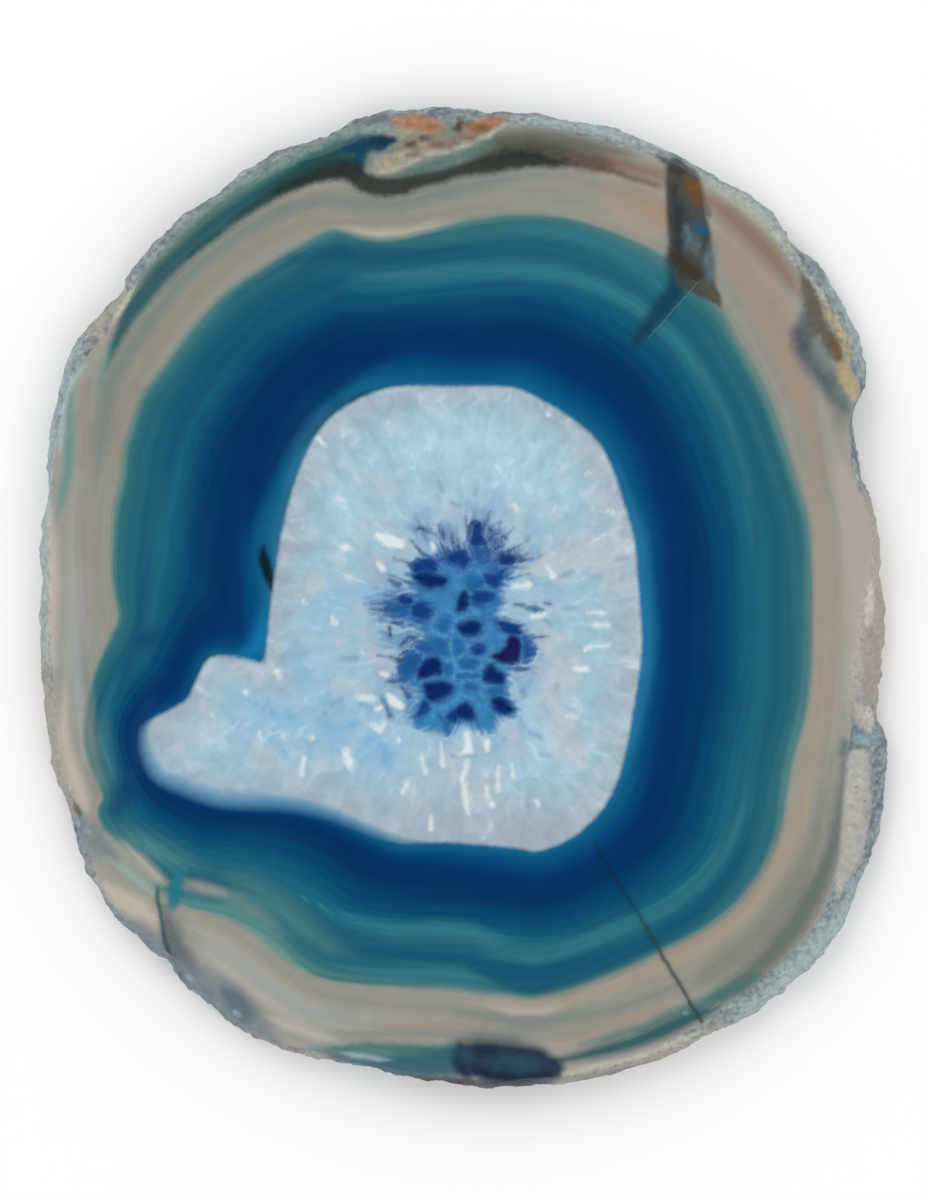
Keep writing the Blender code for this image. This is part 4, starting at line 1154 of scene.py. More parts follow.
@dataclass(frozen=True)
class DyedBands:
    """Chalcedony, layer on layer, dyed blue: each layer takes the dye by how porous it is.

    Next to the quartz the eye meets a clear blue, then the deepest navy, then teal with paler
    layers, and past the dye's last edge the stone's own greys and tans.

    Attributes:
        layers: The colour at each depth, from 0 at the quartz over 1 where the dye stops to 2 at the
            rind.
        wander: How far the layers wander, as a share of the dyed bands' width.
        contrast: How much lighter and darker than its neighbours a thin layer may be.
    """

    layers: tuple[tuple[float, str], ...] = (
        (0.00, "#2a6f93"), (0.025, "#12628a"), (0.06, "#08567f"), (0.11, "#024577"),
        (0.18, "#003367"), (0.28, "#002f60"), (0.38, "#003863"), (0.46, "#03446b"),
        (0.54, "#0c5171"), (0.62, "#185e78"), (0.71, "#1f6378"), (0.80, "#1c5d74"),
        (0.88, "#246474"), (0.945, "#306d76"), (0.985, "#4f7c7e"), (1.03, "#7b8c86"),
        (1.07, "#8f9489"), (1.15, "#98958a"), (1.25, "#8e9288"), (1.36, "#9a958a"), (1.5, "#8f9189"),
        (1.64, "#a09b91"), (1.8, "#989990"), (2.0, "#a09d95"),
    )
    wander: float = 0.05
    contrast: float = 0.25

    def colour(self, nodes: StoneNodes) -> Socket:
        """Draws the layers, and gives their colour."""
        drift = nodes.along_layers(3.0, 2.0, 1.0)
        place = nodes.sum((nodes.read("band"), 0.5), (nodes.read("dye_shift"), 0.5),
                          (drift, 0.4 * self.wander), (nodes.layer, 0.8 * self.wander),
                          start=-0.6 * self.wander)
        stops = tuple((depth / 2, colour) for depth, colour in self.layers)
        colour = nodes.add("ValToRGB", {0: place}, stops=stops)
        for layer in LAYERS:
            colour = nodes.mark(colour, layer)
        return colour

    def finish(self, nodes: StoneNodes, colour: Socket) -> Socket:
        """Draws the finest layers over a colour, and gives the colour that results."""
        fade = nodes.step(nodes.read("band"), 1.15, 0.75, 0.28, 1.0)
        swing = nodes.sum((nodes.layer, 0.75), (nodes.leaf, 0.45), start=-0.6)
        pattern = nodes.sum((swing, fade), start=0.5)
        colour = nodes.brighten(colour, pattern, 2 * self.contrast)
        return nodes.brighten(colour, nodes.coarse, 0.12)


@dataclass(frozen=True)
class QuartzMiddle:
    """Quartz crystals that grew inwards side by side, sawn across and polished.

    The eye meets a cloudy pale blue, greyer at its rim, in grains drawn out towards the druse, with
    a few facets inside that flash white in painted highlights.
    """

    rim: str = "#a3b5c1"
    body: str = "#9fc4d7"
    cloud: str = "#aebfca"
    deep: str = "#7fa6cb"

    def colour(self, nodes: StoneNodes) -> Socket:
        """Draws the crystals, and gives their colour."""
        depth = nodes.sum((nodes.read("quartz_mm"), -1.0))
        patches = nodes.add("TexNoise", {"Vector": nodes.place, "Scale": 0.2, "Detail": 3.0})
        # Columns about 1 mm wide and 5 mm long, as wide as the crystals' tips in the druse.
        turned = nodes.add("VectorMath", {0: nodes.way, "Scale": 11.0}, operation="SCALE")
        lifted = nodes.add("CombineXYZ", {"Z": nodes.sum((nodes.out, 0.2))})
        straight = nodes.add("VectorMath", {0: turned, 1: lifted}, operation="ADD")
        bend = nodes.add("TexNoise", {"Vector": nodes.place, "Scale": 0.45, "Detail": 1.0}, "Color")
        bent = nodes.add("VectorMath", {0: bend, "Scale": 1.1}, operation="SCALE")
        where = nodes.add("VectorMath", {0: straight, 1: bent}, operation="ADD")
        streaks = nodes.add("TexNoise", {"Vector": where, "Scale": 1.3, "Detail": 2.0})
        # Crystal grains about 1.5 mm across, each with its own cloudiness.
        swirl = nodes.add("VectorMath", {0: nodes.place, 1: bent}, operation="ADD")
        cells = nodes.add("TexVoronoi", {"Vector": swirl, "Scale": 0.62, "Smoothness": 0.6}, "Color",
                          feature="SMOOTH_F1")
        grains = nodes.add("SeparateColor", {0: cells})
        inward = nodes.sum((depth, 1.0), (nodes.coarse, 5.0), (streaks, 3.0))
        colour = nodes.mix(nodes.step(inward, 3.5, 9.5), self.rim, self.body)
        mottle = nodes.sum((patches, 0.55), (streaks, 0.2), (grains, 0.25))
        colour = nodes.mix(nodes.step(mottle, 0.42, 0.62, high=0.85), colour, self.cloud)
        for tone in QUARTZ_TONES:
            colour = nodes.mark(colour, tone)
        low = nodes.step(nodes.add("SeparateXYZ", {0: nodes.place}, "Y"), -19.0, -28.0, high=0.7)
        colour = nodes.mix(low, colour, self.rim)
        near = nodes.step(nodes.read("hollow_mm"), 6.0, -1.0, high=0.75)
        blotches = nodes.step(nodes.sum((nodes.coarse, 0.5), (streaks, 0.5)), 0.47, 0.64)
        colour = nodes.mix(nodes.sum((near, blotches)), colour, self.deep)
        colour = nodes.brighten(colour, grains, 0.14)
        colour = nodes.brighten(colour, streaks, 0.34)
        colour = nodes.brighten(colour, nodes.fine, 0.12)
        white = nodes.step(streaks, 0.60, 0.80, high=0.4)
        return nodes.mix(white, colour, "#d9e6ec")

    def specks(self, nodes: StoneNodes, colour: Socket) -> Socket:
        """Draws gaps and painted highlights of bright facets over the quartz, and gives the colour that
        results.
        """
        # The glints among these are painted highlights; the rest are marks in the stone.
        for tone in (HAZE, VIOLET, STROKES, SPECKS, GLINTS):
            colour = nodes.mark(colour, tone)
        return colour


@dataclass(frozen=True)
class PolishedAgate:
    """Agate, sawn flat, lapped and polished: colour from inside under a wet-looking gloss.

    Attributes:
        roughness: Polish scatters little, and less on chalcedony than on the coarser quartz.
        blend: How wide the quartz's edge is, in millimetres, above the bands and on the lobe.
    """

    roughness: float = 0.13
    blend: tuple[float, float] = (0.30, 1.3)
    bands: DyedBands = DyedBands()
    middle: QuartzMiddle = QuartzMiddle()

    def material(self, zone: Zone) -> bpy.types.Material:
        """Builds the finish for one part of the face, and gives its material."""
        nodes = StoneNodes(f"polished_{zone.name.lower()}")
        if zone is Zone.MIDDLE:
            colour = self.middle.specks(nodes, self.middle.colour(nodes))
        else:
            colour = self.layered(nodes, zone)
        if zone is Zone.EDGE:
            colour = self.edge(nodes, colour)
        rough = nodes.add("MapRange", {0: nodes.fine, 3: self.roughness, 4: 1.5 * self.roughness})
        bump = nodes.add("Bump", {"Height": nodes.coarse, "Strength": 0.04, "Distance": 0.05 * MM})
        shader = nodes.add("BsdfPrincipled", {
            "Base Color": colour, "Roughness": rough, "IOR": QUARTZ_IOR, "Normal": bump,
        })
        return nodes.finish(shader)

    def layered(self, nodes: StoneNodes, zone: Zone) -> Socket:
        """Draws the bands with the markings that reach this part, and gives their colour."""
        colour = self.bands.colour(nodes)
        for stain in {Zone.EDGE: LEAF, Zone.PALE: STAINS}.get(zone, ()):
            colour = nodes.mark(colour, stain)
        colour = self.bands.finish(nodes, colour)
        for fracture in FRACTURES:
            colour = nodes.crack(colour, fracture)
        return colour

    def edge(self, nodes: StoneNodes, bands: Socket) -> Socket:
        """Lays the quartz over the bands with its edge, and gives the colour that results."""
        halo = nodes.step(nodes.read(HALO.name), -HALO.soft, HALO.soft)
        width = nodes.add("MapRange", {0: halo, 3: self.blend[0], 4: self.blend[1]})
        inside = nodes.sum((nodes.read("quartz_mm"), -1.0), (nodes.fine, 0.3))
        share = nodes.add("Math", {0: inside, 1: width}, operation="DIVIDE")
        blue = nodes.sum((nodes.step(share, 2.2, 0.0), halo))
        quartz = nodes.mix(blue, self.middle.colour(nodes), HALO.colour)
        colour = nodes.mix(nodes.step(share, -1.0, 1.4), bands, quartz)
        return self.middle.specks(nodes, colour)


@dataclass(frozen=True)
class RoughRind:
    """The nodule's own skin: chalcedony and altered basalt, never cut or polished.

    The eye meets dull grey-blue grains, some of them pale and some nearly black, with rust and tan
    where the markings of the face run out to the edge.
    """

    roughness: float = 0.78

    def material(self, rim: Array) -> bpy.types.Material:
        """Builds the finish for a rind round this rim, in millimetres, and gives its material."""
        nodes = StoneNodes("rough_rind")
        mixed = nodes.sum((nodes.fine, 0.6), (nodes.coarse, 0.4))
        colour = nodes.add("ValToRGB", {0: mixed}, stops=(
            (0.34, "#5d696f"), (0.44, "#717d82"), (0.54, "#839093"), (0.64, "#9ba7a7"),
        ))
        for tone in RIND_TONES:
            colour = nodes.mark(colour, tone)
        for stain in STAINS:
            if stain.depth(rim).max() > -stain.margin - 0.6:
                colour = nodes.mark(colour, stain)
        colour = nodes.brighten(colour, nodes.speckle, 0.12)
        colour = nodes.brighten(colour, nodes.fine, 0.3)
        # Small dark specks, about 0.45 mm across, scattered over the rind's colour.
        dark_specks = nodes.add("TexNoise", {"Vector": nodes.place, "Scale": 2.2, "Detail": 2.0})
        colour = nodes.mix(nodes.step(dark_specks, 0.64, 0.74, high=0.4), colour, "#2c3638")
        bump = nodes.add("Bump", {"Height": nodes.fine, "Strength": 0.4, "Distance": 0.15 * MM})
        shader = nodes.add("BsdfPrincipled", {
            "Base Color": colour, "Roughness": self.roughness, "IOR": QUARTZ_IOR, "Normal": bump,
        })
        return nodes.finish(shader)


@dataclass(frozen=True)
class DruseQuartz:
    """Dyed natural faces of small quartz crystals: glassy, dark in the gaps, edges pale with painted
    highlight.

    Attributes:
        roughness: Of the crystals' sides round the druse, and of their ends in it.
        shine: How much of quartz's gloss each of them has, where it is open.
        gap_shine: How much of that is left in a gap.
        ridge: The colour of the painted highlight on the crystals' edges between the gaps.
    """

    roughness: tuple[float, float] = (0.15, 0.3)
    shine: tuple[float, float] = (0.5, 0.16)
    gap_shine: float = 0.1
    ridge: str = "#529cc9"
    middle: QuartzMiddle = QuartzMiddle()

    def material(self) -> bpy.types.Material:
        """Builds the finish, and gives its material."""
        nodes = StoneNodes("druse_quartz")
        colour = self.middle.colour(nodes)
        for tone in (HAZE, NET, VIOLET, LAGOON, SHALLOW_GAPS, STROKES, SPECKS):
            colour = nodes.mark(colour, tone)
        ends = nodes.inside(NET)
        lumps = nodes.add("TexNoise", {"Vector": nodes.place, "Scale": 0.7, "Detail": 3.0})
        colour = nodes.mix(ends, colour, nodes.brighten(colour, lumps, 0.7))
        # Painted highlight along the crystals' edges between the gaps, broken up by grain.
        ridge = nodes.sum((nodes.read("ridge"), nodes.step(nodes.fine, 0.35, 0.6)))
        colour = nodes.mix(ridge, colour, self.ridge)
        for tone in (MIDDLE_GAPS, DEEP_GAPS, PLUM_GAPS):
            colour = nodes.mark(colour, tone)
        # Painted highlights of facets that shine white.
        colour = nodes.mark(colour, GLINTS)
        # Light that falls into a gap is caught between the crystals: the gaps hardly shine.
        gaps = nodes.sum(*((nodes.inside(tone), 1.0) for tone in DARK_GAPS))
        open_shine = nodes.add("MapRange", {0: ends, 3: self.shine[0], 4: self.shine[1]})
        shine = nodes.sum((open_shine, nodes.step(gaps, 0.0, 1.0, 1.0, self.gap_shine)))
        rough = nodes.add("MapRange", {0: ends, 3: self.roughness[0], 4: self.roughness[1]})
        shader = nodes.add("BsdfPrincipled", {
            "Base Color": colour, "Roughness": rough, "IOR": QUARTZ_IOR, "Specular IOR Level": shine,
        })
        return nodes.finish(shader)


@dataclass
class Slab:
    """The slab of stone: its polished face, the rough rind round its rim and its sawn back.

    Attributes:
        sectors: How many places there are round each ring.
        dyed_rings: Rings from the hollow out to where the dye stops.
        pale_rings: Rings from there to the edge of the polished face.
        rind_levels: Rings down the rind.
        back_rings: Rings across the back.
        belly: How high the slab is widest.
        taper: How much narrower the hollow is at its floor, on each side.
        gap_depth: How deep the gaps between the crystals cut into the face round the hollow.
        skin: How far inside the CAD slab's flat faces its edges are measured.
        jitter: How far the polished face's edge wanders.
        relief: How far the rind's crystals stand out.
        crystal_mm: How wide the rind's crystals are.
        grain_mm: How wide its grains are.
        lump_mm: How wide its knobs are.
        back_stretch: How much smaller the layers' pattern is on the back than on the face.
        quartz_edge_mm: Between which distances from the quartz its edge is drawn.
        crease: The angle in degrees from which its edges are sharp.
    """

    sectors: int = 720
    dyed_rings: int = 56
    pale_rings: int = 36
    rind_levels: int = 24
    back_rings: int = 16
    belly: float = 2.2 * MM
    taper: float = 1.3 * MM
    gap_depth: float = 0.25 * MM
    skin: float = 0.02 * MM
    jitter: float = 0.16 * MM
    relief: float = 0.2 * MM
    crystal_mm: float = 0.9
    grain_mm: float = 0.45
    lump_mm: float = 2.2
    back_stretch: float = 1.03
    quartz_edge_mm: tuple[float, float] = (-2.4, 3.3)
    crease: float = 32.0

    def __post_init__(self) -> None:
        """Finds the CAD slab's edges."""
        self.cad = CadShape("agate_slice")
        self.top = self.cad.high.z
        turns = 2 * np.pi * np.arange(self.sectors) / self.sectors
        self.ways = np.stack((np.cos(turns), np.sin(turns)), axis=1)
        self.directions = [Vector((x, y, 0.0)) for x, y in self.ways]
        self.hollow = self.radii(self.top - self.skin, inwards=False)
        edge = self.radii(self.top - self.skin)
        wander = [noise.noise(Vector((*(way * r / MM), 0.0))) for way, r in zip(self.ways, edge)]
        # The edge wanders inwards of the solid's own.
        self.edge = edge + self.jitter * (np.array(wander) - 0.6)
        dye = smooth_outline(DYE_EDGE) - HEART_MM
        angles = np.arctan2(dye[:, 1], dye[:, 0]) % (2 * np.pi)
        order = np.argsort(angles)
        reach = np.hypot(*dye[order].T) * MM
        self.dye = np.interp(turns, angles[order], reach, period=2 * np.pi)

    def radii(self, height: float, inwards: bool = True) -> Array:
        """How far the CAD slab reaches from the heart in each direction at a height."""
        return np.array([self.cad.reach(way, height, inwards) for way in self.directions])

    def ring(self, radii: Array, height: Array | float) -> Array:
        """The places at these distances from the heart and heights."""
        places = np.empty((self.sectors, 3))
        places[:, :2] = np.array(HEART_MM) * MM + self.ways * radii[:, None]
        places[:, 2] = height
        return places

    def face_radii(self) -> list[Array]:
        """The face's rings, crowded near the hollow and in the pale layers."""
        inner = (np.arange(self.dyed_rings) / self.dyed_rings) ** 1.5
        outer = np.arange(self.pale_rings + 1) / self.pale_rings
        rings = [self.hollow + share * (self.dye - self.hollow) for share in inner]
        return rings + [self.dye + share * (self.edge - self.dye) for share in outer]

    def rind(self) -> list[Array]:
        """The rind's rings, from under the face's edge to the back's, with their relief."""
        shoulder = int(self.rind_levels * 0.7)
        falls = (np.arange(1, shoulder + 1) / shoulder) ** 1.5
        heights = [self.top - fall * (self.top - self.belly) for fall in falls]
        below = self.rind_levels - shoulder
        heights += [self.belly * (1 - (i + 1) / below) for i in range(below - 1)]
        heights.append(self.skin)
        grid = np.stack([self.ring(self.radii(height), height) for height in heights])
        around = np.roll(grid, -1, axis=1) - np.roll(grid, 1, axis=1)
        down = np.gradient(grid, axis=0)
        normals = np.cross(down, around)
        normals /= np.linalg.norm(normals, axis=2, keepdims=True) + 1e-12
        if (normals[len(grid) // 2, :, :2] * self.ways).sum() < 0:
            normals = -normals
        for level, (ring, normal) in enumerate(zip(grid, normals)):
            calm = min(1.0, (self.top - heights[level]) / (0.5 * MM))
            lift = np.array([self.crystals(Vector(place) / MM) for place in ring])
            ring += normal * (self.relief * calm * lift)[:, None]
            ring[:, 2] = np.clip(ring[:, 2], 0.0, self.top)
            ring[:, 0] = np.clip(ring[:, 0], self.cad.low.x, self.cad.high.x)
            ring[:, 1] = np.clip(ring[:, 1], self.cad.low.y, self.cad.high.y)
        grid[-1, :, 2] = 0.0
        return list(grid)

    def crystals(self, place: Vector) -> float:
        """The rind's fine relief at a place in millimetres, from about -1.6 to 0.3."""
        near, next_near = noise.voronoi(place / self.crystal_mm)[0][:2]
        grain = noise.noise(place / self.grain_mm)
        lump = noise.noise(place / self.lump_mm)
        return 1.3 * (next_near - near) + 0.45 * grain + 0.5 * lump - 0.9

    def build(self, materials: list[bpy.types.Material]) -> bpy.types.Object:
        """Builds and dresses the slab.

        Args:
            materials: The finishes, in the order of Zone.

        Returns:
            The piece.
        """
        top = Vector((*HEART_MM, 0.0)) * MM + Vector((0.0, 0.0, 2 * self.top))
        floor = self.cad.first_hit(top, Vector((0.0, 0.0, -1.0))).z
        bottom = self.hollow - self.taper
        pit = [self.ring(bottom * 0.0, floor), self.ring(bottom, floor)]
        face = [self.ring(radii, self.top) for radii in self.face_radii()]
        for ring in face[1:]:
            cut = np.clip(STROKES.depth(ring[:, :2] / MM) + 0.1, 0, 0.3)
            ring[:, 2] -= self.gap_depth * cut / 0.3
        rind = self.rind()
        shares = 1 - np.arange(1, self.back_rings + 1) / self.back_rings
        heart = np.array((*HEART_MM, 0.0)) * MM
        back = [heart + (rind[-1] - heart) * share for share in shares]
        lattice = Lattice([*pit, *face, *rind, *back])
        found = self.fields(lattice)
        zones = self.zones(found).reshape(len(lattice.rings), self.sectors)
        sheet = BakeSheet(self.cad)
        lattice.band(corners(*map(sheet.pit, pit)), Zone.MIDDLE.value)
        lattice.band(sheet.wall(self.sectors), Zone.MIDDLE.value)
        for i, (low, high) in enumerate(zip(face, face[1:]), len(pit)):
            lattice.band(corners(sheet.face(low), sheet.face(high)), self.shared(zones[i : i + 2]))
        steps = [np.linalg.norm(high - low, axis=1).mean() for low, high in zip(rind, rind[1:])]
        run = np.cumsum([0.0, self.top - rind[0][0, 2], *steps])
        for low, high in zip(run / run[-1], run[1:] / run[-1]):
            lattice.band(sheet.strip(self.sectors, low, high), Zone.RIND.value)
        under = len(lattice.rings) - len(back) - 1
        for i, (low, high) in enumerate(zip([rind[-1], *back], back), under):
            lattice.band(corners(sheet.back(low), sheet.back(high)), self.shared(zones[i : i + 2]))
        return lattice.build("agate_slab", materials, found, self.crease)

    def zones(self, found: dict[str, Array]) -> Array:
        """Sorts places by how much of the polished finish they need, from what is known of them."""
        marked = np.max([found[stain.name] + stain.margin for stain in STAINS], axis=0) > -0.3
        quartz = found["quartz_mm"]
        near, far = self.quartz_edge_mm
        edge = ((quartz > near) & (quartz < far)) | (found[HALO.name] > -HALO.soft)
        kinds = [zone.value for zone in (Zone.EDGE, Zone.PALE, Zone.MIDDLE)]
        return np.select([edge, marked, quartz < 0], kinds, Zone.BANDS.value)

    @staticmethod
    def shared(rings: Array) -> Array:
        """The zone of each face between two rings, from the zones of its corners."""
        return np.max([*rings, *np.roll(rings, -1, axis=1)], axis=0)

    def fields(self, lattice: Lattice) -> dict[str, Array]:
        """Works out what the finishes read at each place.

        Args:
            lattice: The slab's rings.

        Returns:
            For each name, one number for each place.
        """
        spots = lattice.places() / MM
        under = spots[:, 2] < 0.01
        places = np.where(under[:, None], spots[:, :2] * self.back_stretch, spots[:, :2])
        places = places + np.where(under[:, None], 0.0, self.lean(spots))
        found = Growth(self.outline(self.edge)).fields(places)
        away = distance_outside(places, self.outline(self.hollow)[::6])
        top = spots[:, 2] > self.top / MM / 2
        found["hollow_mm"] = np.where(top, away, np.maximum(away, 3.0))
        for tone in DRUSE_TONES:
            found[tone.name] = np.where(top, found[tone.name], -FAR_MM)
        return found

    def lean(self, spots: Array) -> Array:
        """How far the markings slide round the rind on their way down it.

        Args:
            spots: Places in millimetres, one row each.

        Returns:
            Each place's slide in millimetres, along x and y.
        """
        x, y = (spots[:, :2] - HEART_MM).T
        turn = np.arctan2(y, x)
        # They start to slide 0.8 mm below the face and are back in place at the bottom.
        drop = self.top / MM - spots[:, 2]
        share = np.clip((drop - 0.8) / 3.0, 0, 1) * np.clip(spots[:, 2], 0, 1)
        slide = share * (1.3 * np.sin(13 * turn + 0.8 * drop) + 0.9 * np.sin(29 * turn - 1.3 * drop))
        return slide[:, None] * np.stack((-np.sin(turn), np.cos(turn)), axis=1)

    def outline(self, radii: Array) -> Array:
        """The places in millimetres at these distances from the heart."""
        return np.array(HEART_MM) + self.ways * radii[:, None] / MM


class BakeSheet:
    """Where each part of the slab lies on its bake map, a square from 0 to 1.

    A SCALE is the map's share for each metre, a PLACE the map's place for the part's lowest corner,
    or for the hollow's floor its middle. Strips of the rind lie in ROWS of COLUMNS.
    """

    MARGIN = 0.005
    FACE_SCALE = 0.74 / 0.120
    BACK_SCALE = 0.34 / 0.1037
    BACK_PLACE = (0.653, MARGIN)
    PIT_SCALE = 2.4
    PIT_PLACE = (0.73, 0.52)
    WALL_X = (0.66, 0.33)
    WALL_Y = (0.60, 0.62)
    COLUMNS = 3
    ROWS = 2
    STRIP_BASE = 0.757
    STRIP_STEP = (0.331, 0.121)
    STRIP_SIZE = (0.325, 0.115)

    def __init__(self, cad: CadShape) -> None:
        """Keeps the slab's lowest and highest corner."""
        self.low = np.array(cad.low[:2])
        self.high = np.array(cad.high[:2])

    def face(self, ring: Array) -> Array:
        """The map's places for a ring of the polished face."""
        return self.MARGIN + (ring[:, :2] - self.low) * self.FACE_SCALE

    def back(self, ring: Array) -> Array:
        """The map's places for a ring of the back, which is seen from the other side."""
        flipped = np.stack((self.high[0] - ring[:, 0], ring[:, 1] - self.low[1]), axis=1)
        return flipped * self.BACK_SCALE + self.BACK_PLACE

    def pit(self, ring: Array) -> Array:
        """The map's places for the hollow's floor."""
        return (ring[:, :2] - np.array(HEART_MM) * MM) * self.PIT_SCALE + self.PIT_PLACE

    def wall(self, sectors: int) -> Array:
        """The corners on the map of the hollow's wall."""
        left, length = self.WALL_X
        along = left + length * np.arange(sectors + 1) / sectors
        return corners(*(np.stack((along, np.full_like(along, y)), axis=1) for y in self.WALL_Y))

    def strip(self, sectors: int, low: float, high: float) -> Array:
        """The corners on the map of a band of the rind, which lies there in rows of short strips.

        Args:
            sectors: How many faces the band has.
            low: How far down the rind the band starts, from 0 to 1.
            high: How far down it ends.

        Returns:
            Four corners for each face.
        """
        length = sectors // (self.COLUMNS * self.ROWS)
        which, along = np.divmod(np.arange(sectors), length)
        left = self.MARGIN + (which % self.COLUMNS) * self.STRIP_STEP[0]
        base = self.STRIP_BASE + (which // self.COLUMNS) * self.STRIP_STEP[1]
        start, end = (left + self.STRIP_SIZE[0] * (along + i) / length for i in (0, 1))
        lower, upper = (base + self.STRIP_SIZE[1] * share for share in (low, high))
        spots = (start, lower), (end, lower), (end, upper), (start, upper)
        return np.stack([np.stack(spot, axis=1) for spot in spots], axis=1)


@dataclass
class Druse:
    """The crust of crystals in the hollow.

    Attributes:
        sectors: How many places there are round each ring.
        rings: How many rings there are from its middle to its edge.
        net_drop: How far below the face the crystals' ends lie in the middle.
        ridge_width: How wide the pale ridges between the gaps are, in millimetres.
        ridge_height: How far they stand up.
        facet: How far the crystals' own faces rise and fall.
        facet_mm: How wide these faces are.
        crease: The angle in degrees from which its edges are sharp.
        above_scale: The bake map's share for each metre of the crust as seen from above.
        below_scale: The same for its underside.
        below_place: Where the underside's lowest corner lies on the map.
        wall_rows: Between which heights on the map its wall lies.
        wall_length: How much of the map's width the wall takes.
        margin: How far the parts stay off the map's edges.
    """

    sectors: int = 360
    rings: int = 96
    net_drop: float = 0.35 * MM
    ridge_width: float = 0.28
    ridge_height: float = 0.10 * MM
    facet: float = 0.07 * MM
    facet_mm: float = 0.75
    crease: float = 24.0
    above_scale: float = 32.0
    below_scale: float = 15.0
    below_place: tuple[float, float] = (0.68, 0.02)
    wall_rows: tuple[float, float] = (0.93, 0.99)
    wall_length: float = 0.97
    margin: float = 0.01

    def build(self, slab: Slab, material: bpy.types.Material) -> bpy.types.Object:
        """Builds and dresses the druse.

        Args:
            slab: The slab, whose hollow it fills.
            material: Its finish.

        Returns:
            The piece.
        """
        crust = CadShape("druse_crystals")
        step = slab.sectors // self.sectors
        ways = slab.ways[::step]
        edge = slab.hollow[::step] - 0.005 * MM
        heart = np.array(HEART_MM) * MM
        shares = np.linspace(0.0, 1.0, self.rings)
        flat = np.stack([heart + ways * (edge * share)[:, None] for share in shares])
        places = flat.reshape(-1, 2) / MM
        found = Growth(slab.outline(slab.edge)).fields(places)
        outline = (heart + ways * edge[:, None])[::3] / MM
        found["hollow_mm"] = distance_outside(places, outline)
        found["ridge"] = self.ridges(places)
        height = slab.top - self.drop(places, found)
        height = np.maximum(height, crust.low.z + 0.2 * MM).reshape(flat.shape[:2])
        rows = list(np.dstack((flat, height[..., None])))
        floor = np.hstack((flat[-1], np.full((self.sectors, 1), crust.low.z)))
        middle = np.array((*heart, crust.low.z))
        lattice = Lattice([*rows, floor, np.tile(middle, (self.sectors, 1))])
        # The crust seen from above fills the bake map's left and lower part, with its wall along
        # the top and its underside at the right.
        corner = np.array(slab.outline(slab.hollow).min(axis=0)) * MM
        above = [(row[:, :2] - corner) * self.above_scale + self.margin for row in rows]
        for low, high in zip(above, above[1:]):
            lattice.band(corners(low, high))
        along = self.margin + self.wall_length * np.arange(self.sectors + 1) / self.sectors
        wall = [np.stack((along, np.full_like(along, y)), axis=1) for y in self.wall_rows]
        lattice.band(corners(*wall))
        under = [(row[:, :2] - corner) * self.below_scale for row in lattice.rings[-2:]]
        lattice.band(corners(*(row + self.below_place for row in under)))
        spare = np.full(2 * self.sectors, -FAR_MM)
        found = {name: np.concatenate((values, spare)) for name, values in found.items()}
        return lattice.build("druse", [material], found, self.crease)

    def drop(self, places: Array, found: dict[str, Array]) -> Array:
        """How far below the face the crust lies at each place.

        Args:
            places: Places in millimetres, one row each.
            found: What is known of each place, by name.

        Returns:
            The drop, in metres.
        """
        net = np.clip(found[NET.name] / 1.2 + 0.5, 0.0, 1.0)
        drop = self.net_drop * net
        for gaps in DARK_GAPS:
            for inside in gaps.insides(places):
                share = np.clip((inside + 0.15) / (0.7 * inside.max() + 0.15), 0.0, 1.0)
                floor = self.net_drop + gaps.deep * MM * share**2 * (3 - 2 * share)
                drop = np.where(share > 0, np.maximum(drop, floor), drop)
        cut = np.clip(found[STROKES.name] + 0.1, 0.0, 0.3) / 0.3
        drop = np.maximum(drop, 0.3 * MM * cut)
        relief = []
        for x, y in places:
            near, next_near = noise.voronoi(Vector((x, y, 0.0)) / self.facet_mm)[0][:2]
            relief.append(0.5 - min(1.0, 1.6 * (next_near - near)))
        drop = drop + self.facet * np.array(relief) * np.clip(drop / self.net_drop, 0.0, 1.0)
        return np.maximum(drop - self.ridge_height * found["ridge"], 0.0)

    def ridges(self, places: Array) -> Array:
        """Finds the ridges that run midway between neighbouring gaps.

        Args:
            places: The places in millimetres.

        Returns:
            How much of a ridge each place is, from 0 to 1.
        """
        reach = np.full((len(places), 2), FAR_MM)
        for away in (-inside for gaps in DARK_GAPS for inside in gaps.insides(places)):
            closer = away < reach[:, 0]
            reach[:, 1] = np.where(closer, reach[:, 0], np.minimum(reach[:, 1], away))
            reach[:, 0] = np.where(closer, away, reach[:, 0])
        middle = np.exp(-(((reach[:, 1] - reach[:, 0]) / (2 * self.ridge_width)) ** 2))
        return 0.6 * middle * np.clip((1.1 - reach[:, 0]) / 0.5, 0.0, 1.0)


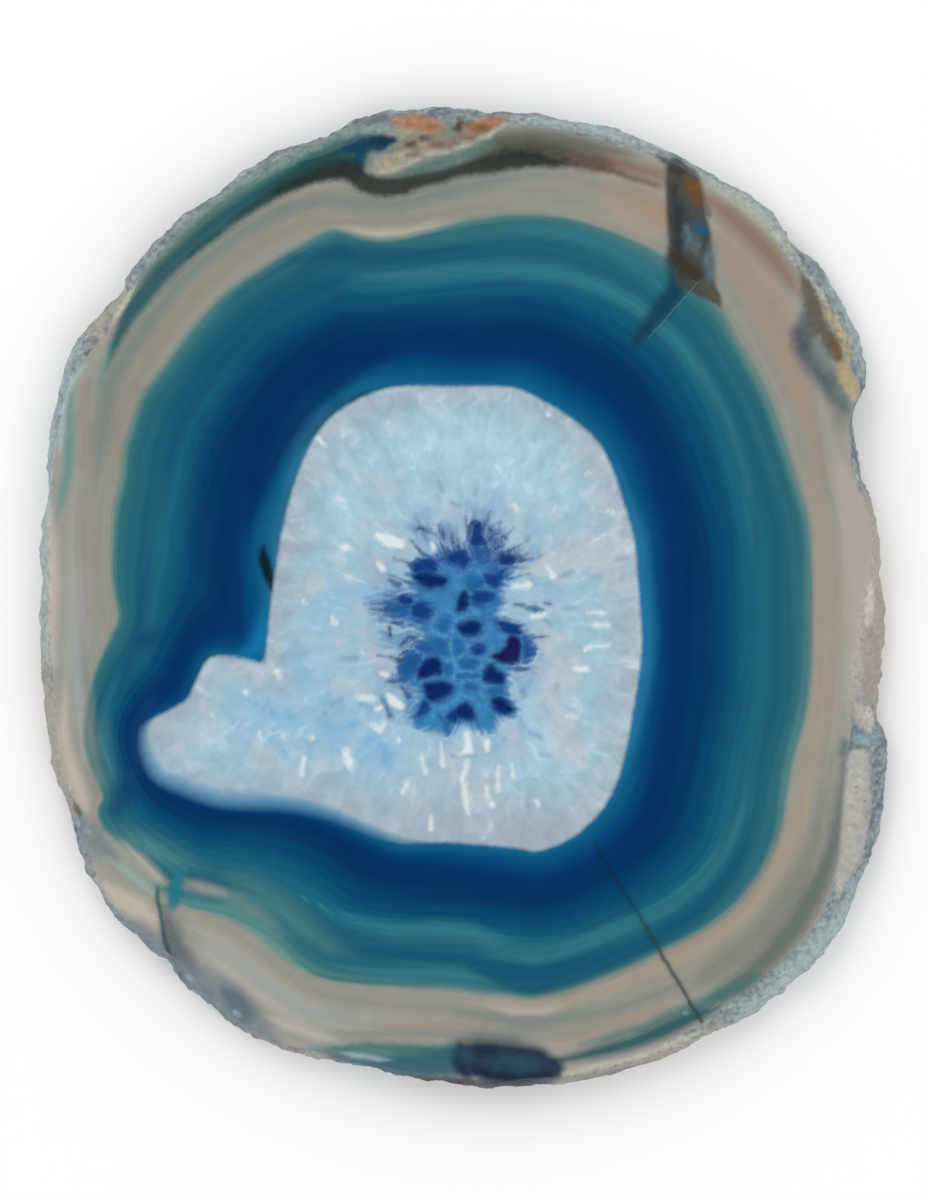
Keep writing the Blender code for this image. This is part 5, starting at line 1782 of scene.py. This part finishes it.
@dataclass
class Studio:
    """The pale floor, the soft light and the camera.

    Attributes:
        floor_half: Half the floor's width.
        floor_drop: How far the floor lies under the slice.
        sky_edge: Between which heights, as sines, the sky's light fades.
        sky_light: The sky's light below them and above them, where polish would mirror it.
        lamps: Each lamp's name, turn and height in degrees, and power.
        lamp_width: How wide the lamps are.
        lamp_distance: How far off they stand.
        lens: The camera's focal length in millimetres, long as for small objects seen flat.
        view_height: How much of the floor the frame takes in, top to bottom: the photo's pixels
            times the size of one on the slice.
        aim: Where on the slice the camera looks.
    """

    floor_half: float = 4.0
    floor_drop: float = 0.05 * MM
    sky_edge: tuple[float, float] = (0.90, 0.965)
    sky_light: tuple[float, float] = (0.86, 0.02)
    lamps: tuple[tuple[str, float, float, float], ...] = (
        ("key_light", 125, 48, 1.7), ("fill_light", -55, 48, 1.1),
    )
    lamp_width: float = 0.6
    lamp_distance: float = 0.8
    lens: float = 200.0
    view_height: float = 1200 * 0.1217 * MM
    aim: tuple[float, float, float] = (0.06 * MM, -0.3 * MM, 4.0 * MM)

    def floor(self) -> bpy.types.Object:
        """Lays the floor just under the slice."""
        mesh = bpy.data.meshes.new("floor")
        turns = ((-1, -1), (1, -1), (1, 1), (-1, 1))
        places = [(x * self.floor_half, y * self.floor_half, -self.floor_drop) for x, y in turns]
        mesh.from_pydata(places, [], [(0, 1, 2, 3)])
        nodes = Nodes(bpy.data.materials.new("pale_floor"))
        shader = nodes.add("BsdfPrincipled", {"Base Color": linear("#fdfdfd"), "Roughness": 0.9})
        mesh.materials.append(nodes.finish(shader))
        return add_to_scene("floor", mesh)

    def light(self) -> None:
        """Lights the slice from all sides, but not from straight above, where polish would glare."""
        nodes = Nodes(bpy.data.worlds.new("studio"))
        up = nodes.add("SeparateXYZ", {0: nodes.add("TexCoord", output="Generated")}, "Z")
        sky = nodes.step(up, *self.sky_edge, *self.sky_light)
        white = (1.0, 1.0, 1.0, 1.0)
        glow = nodes.add("Background", {"Color": white, "Strength": sky})
        bpy.context.scene.world = nodes.finish(glow)
        for name, turn, height, power in self.lamps:
            lamp = bpy.data.lights.new(name, "AREA")
            lamp.energy = power
            lamp.size = self.lamp_width
            made = add_to_scene(name, lamp)
            angle, rise = math.radians(turn), math.radians(height)
            level = math.cos(rise)
            way = Vector((math.cos(angle) * level, math.sin(angle) * level, math.sin(rise)))
            made.location = way * self.lamp_distance
            made.rotation_euler = (-way).to_track_quat("-Z", "Y").to_euler()

    def camera(self) -> None:
        """Sets the camera straight above, with the slice's longer side upright."""
        lens = bpy.data.cameras.new("camera")
        lens.lens = self.lens
        lens.clip_start = 0.01
        made = add_to_scene("camera", lens)
        away = self.view_height * self.lens / lens.sensor_width
        made.location = Vector(self.aim) + Vector((0.0, 0.0, away))
        bpy.context.scene.camera = made


def main() -> None:
    """Builds the slice's pieces, the floor, the light and the camera."""
    logging.basicConfig(level=logging.INFO, format="%(name)s: %(message)s")
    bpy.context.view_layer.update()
    slab = Slab()
    druse = Druse()
    polish = PolishedAgate()
    stone = [polish.material(zone) for zone in Zone if zone is not Zone.RIND]
    stone.append(RoughRind().material(slab.outline(slab.edge)))
    pieces = (
        (slab.build(stone), "agate_slice", "agate"),
        (druse.build(slab, DruseQuartz().material()), "druse_crystals", "druse"),
    )
    for piece, node, slot in pieces:
        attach(piece, BODY)
        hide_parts(node)
        log.info("%s: %d faces", piece.name, len(piece.data.polygons))
    studio = Studio()
    studio.floor()
    studio.light()
    studio.camera()
    bpy.context.scene.view_settings.view_transform = "Standard"


if __name__ == "__main__":
    main()
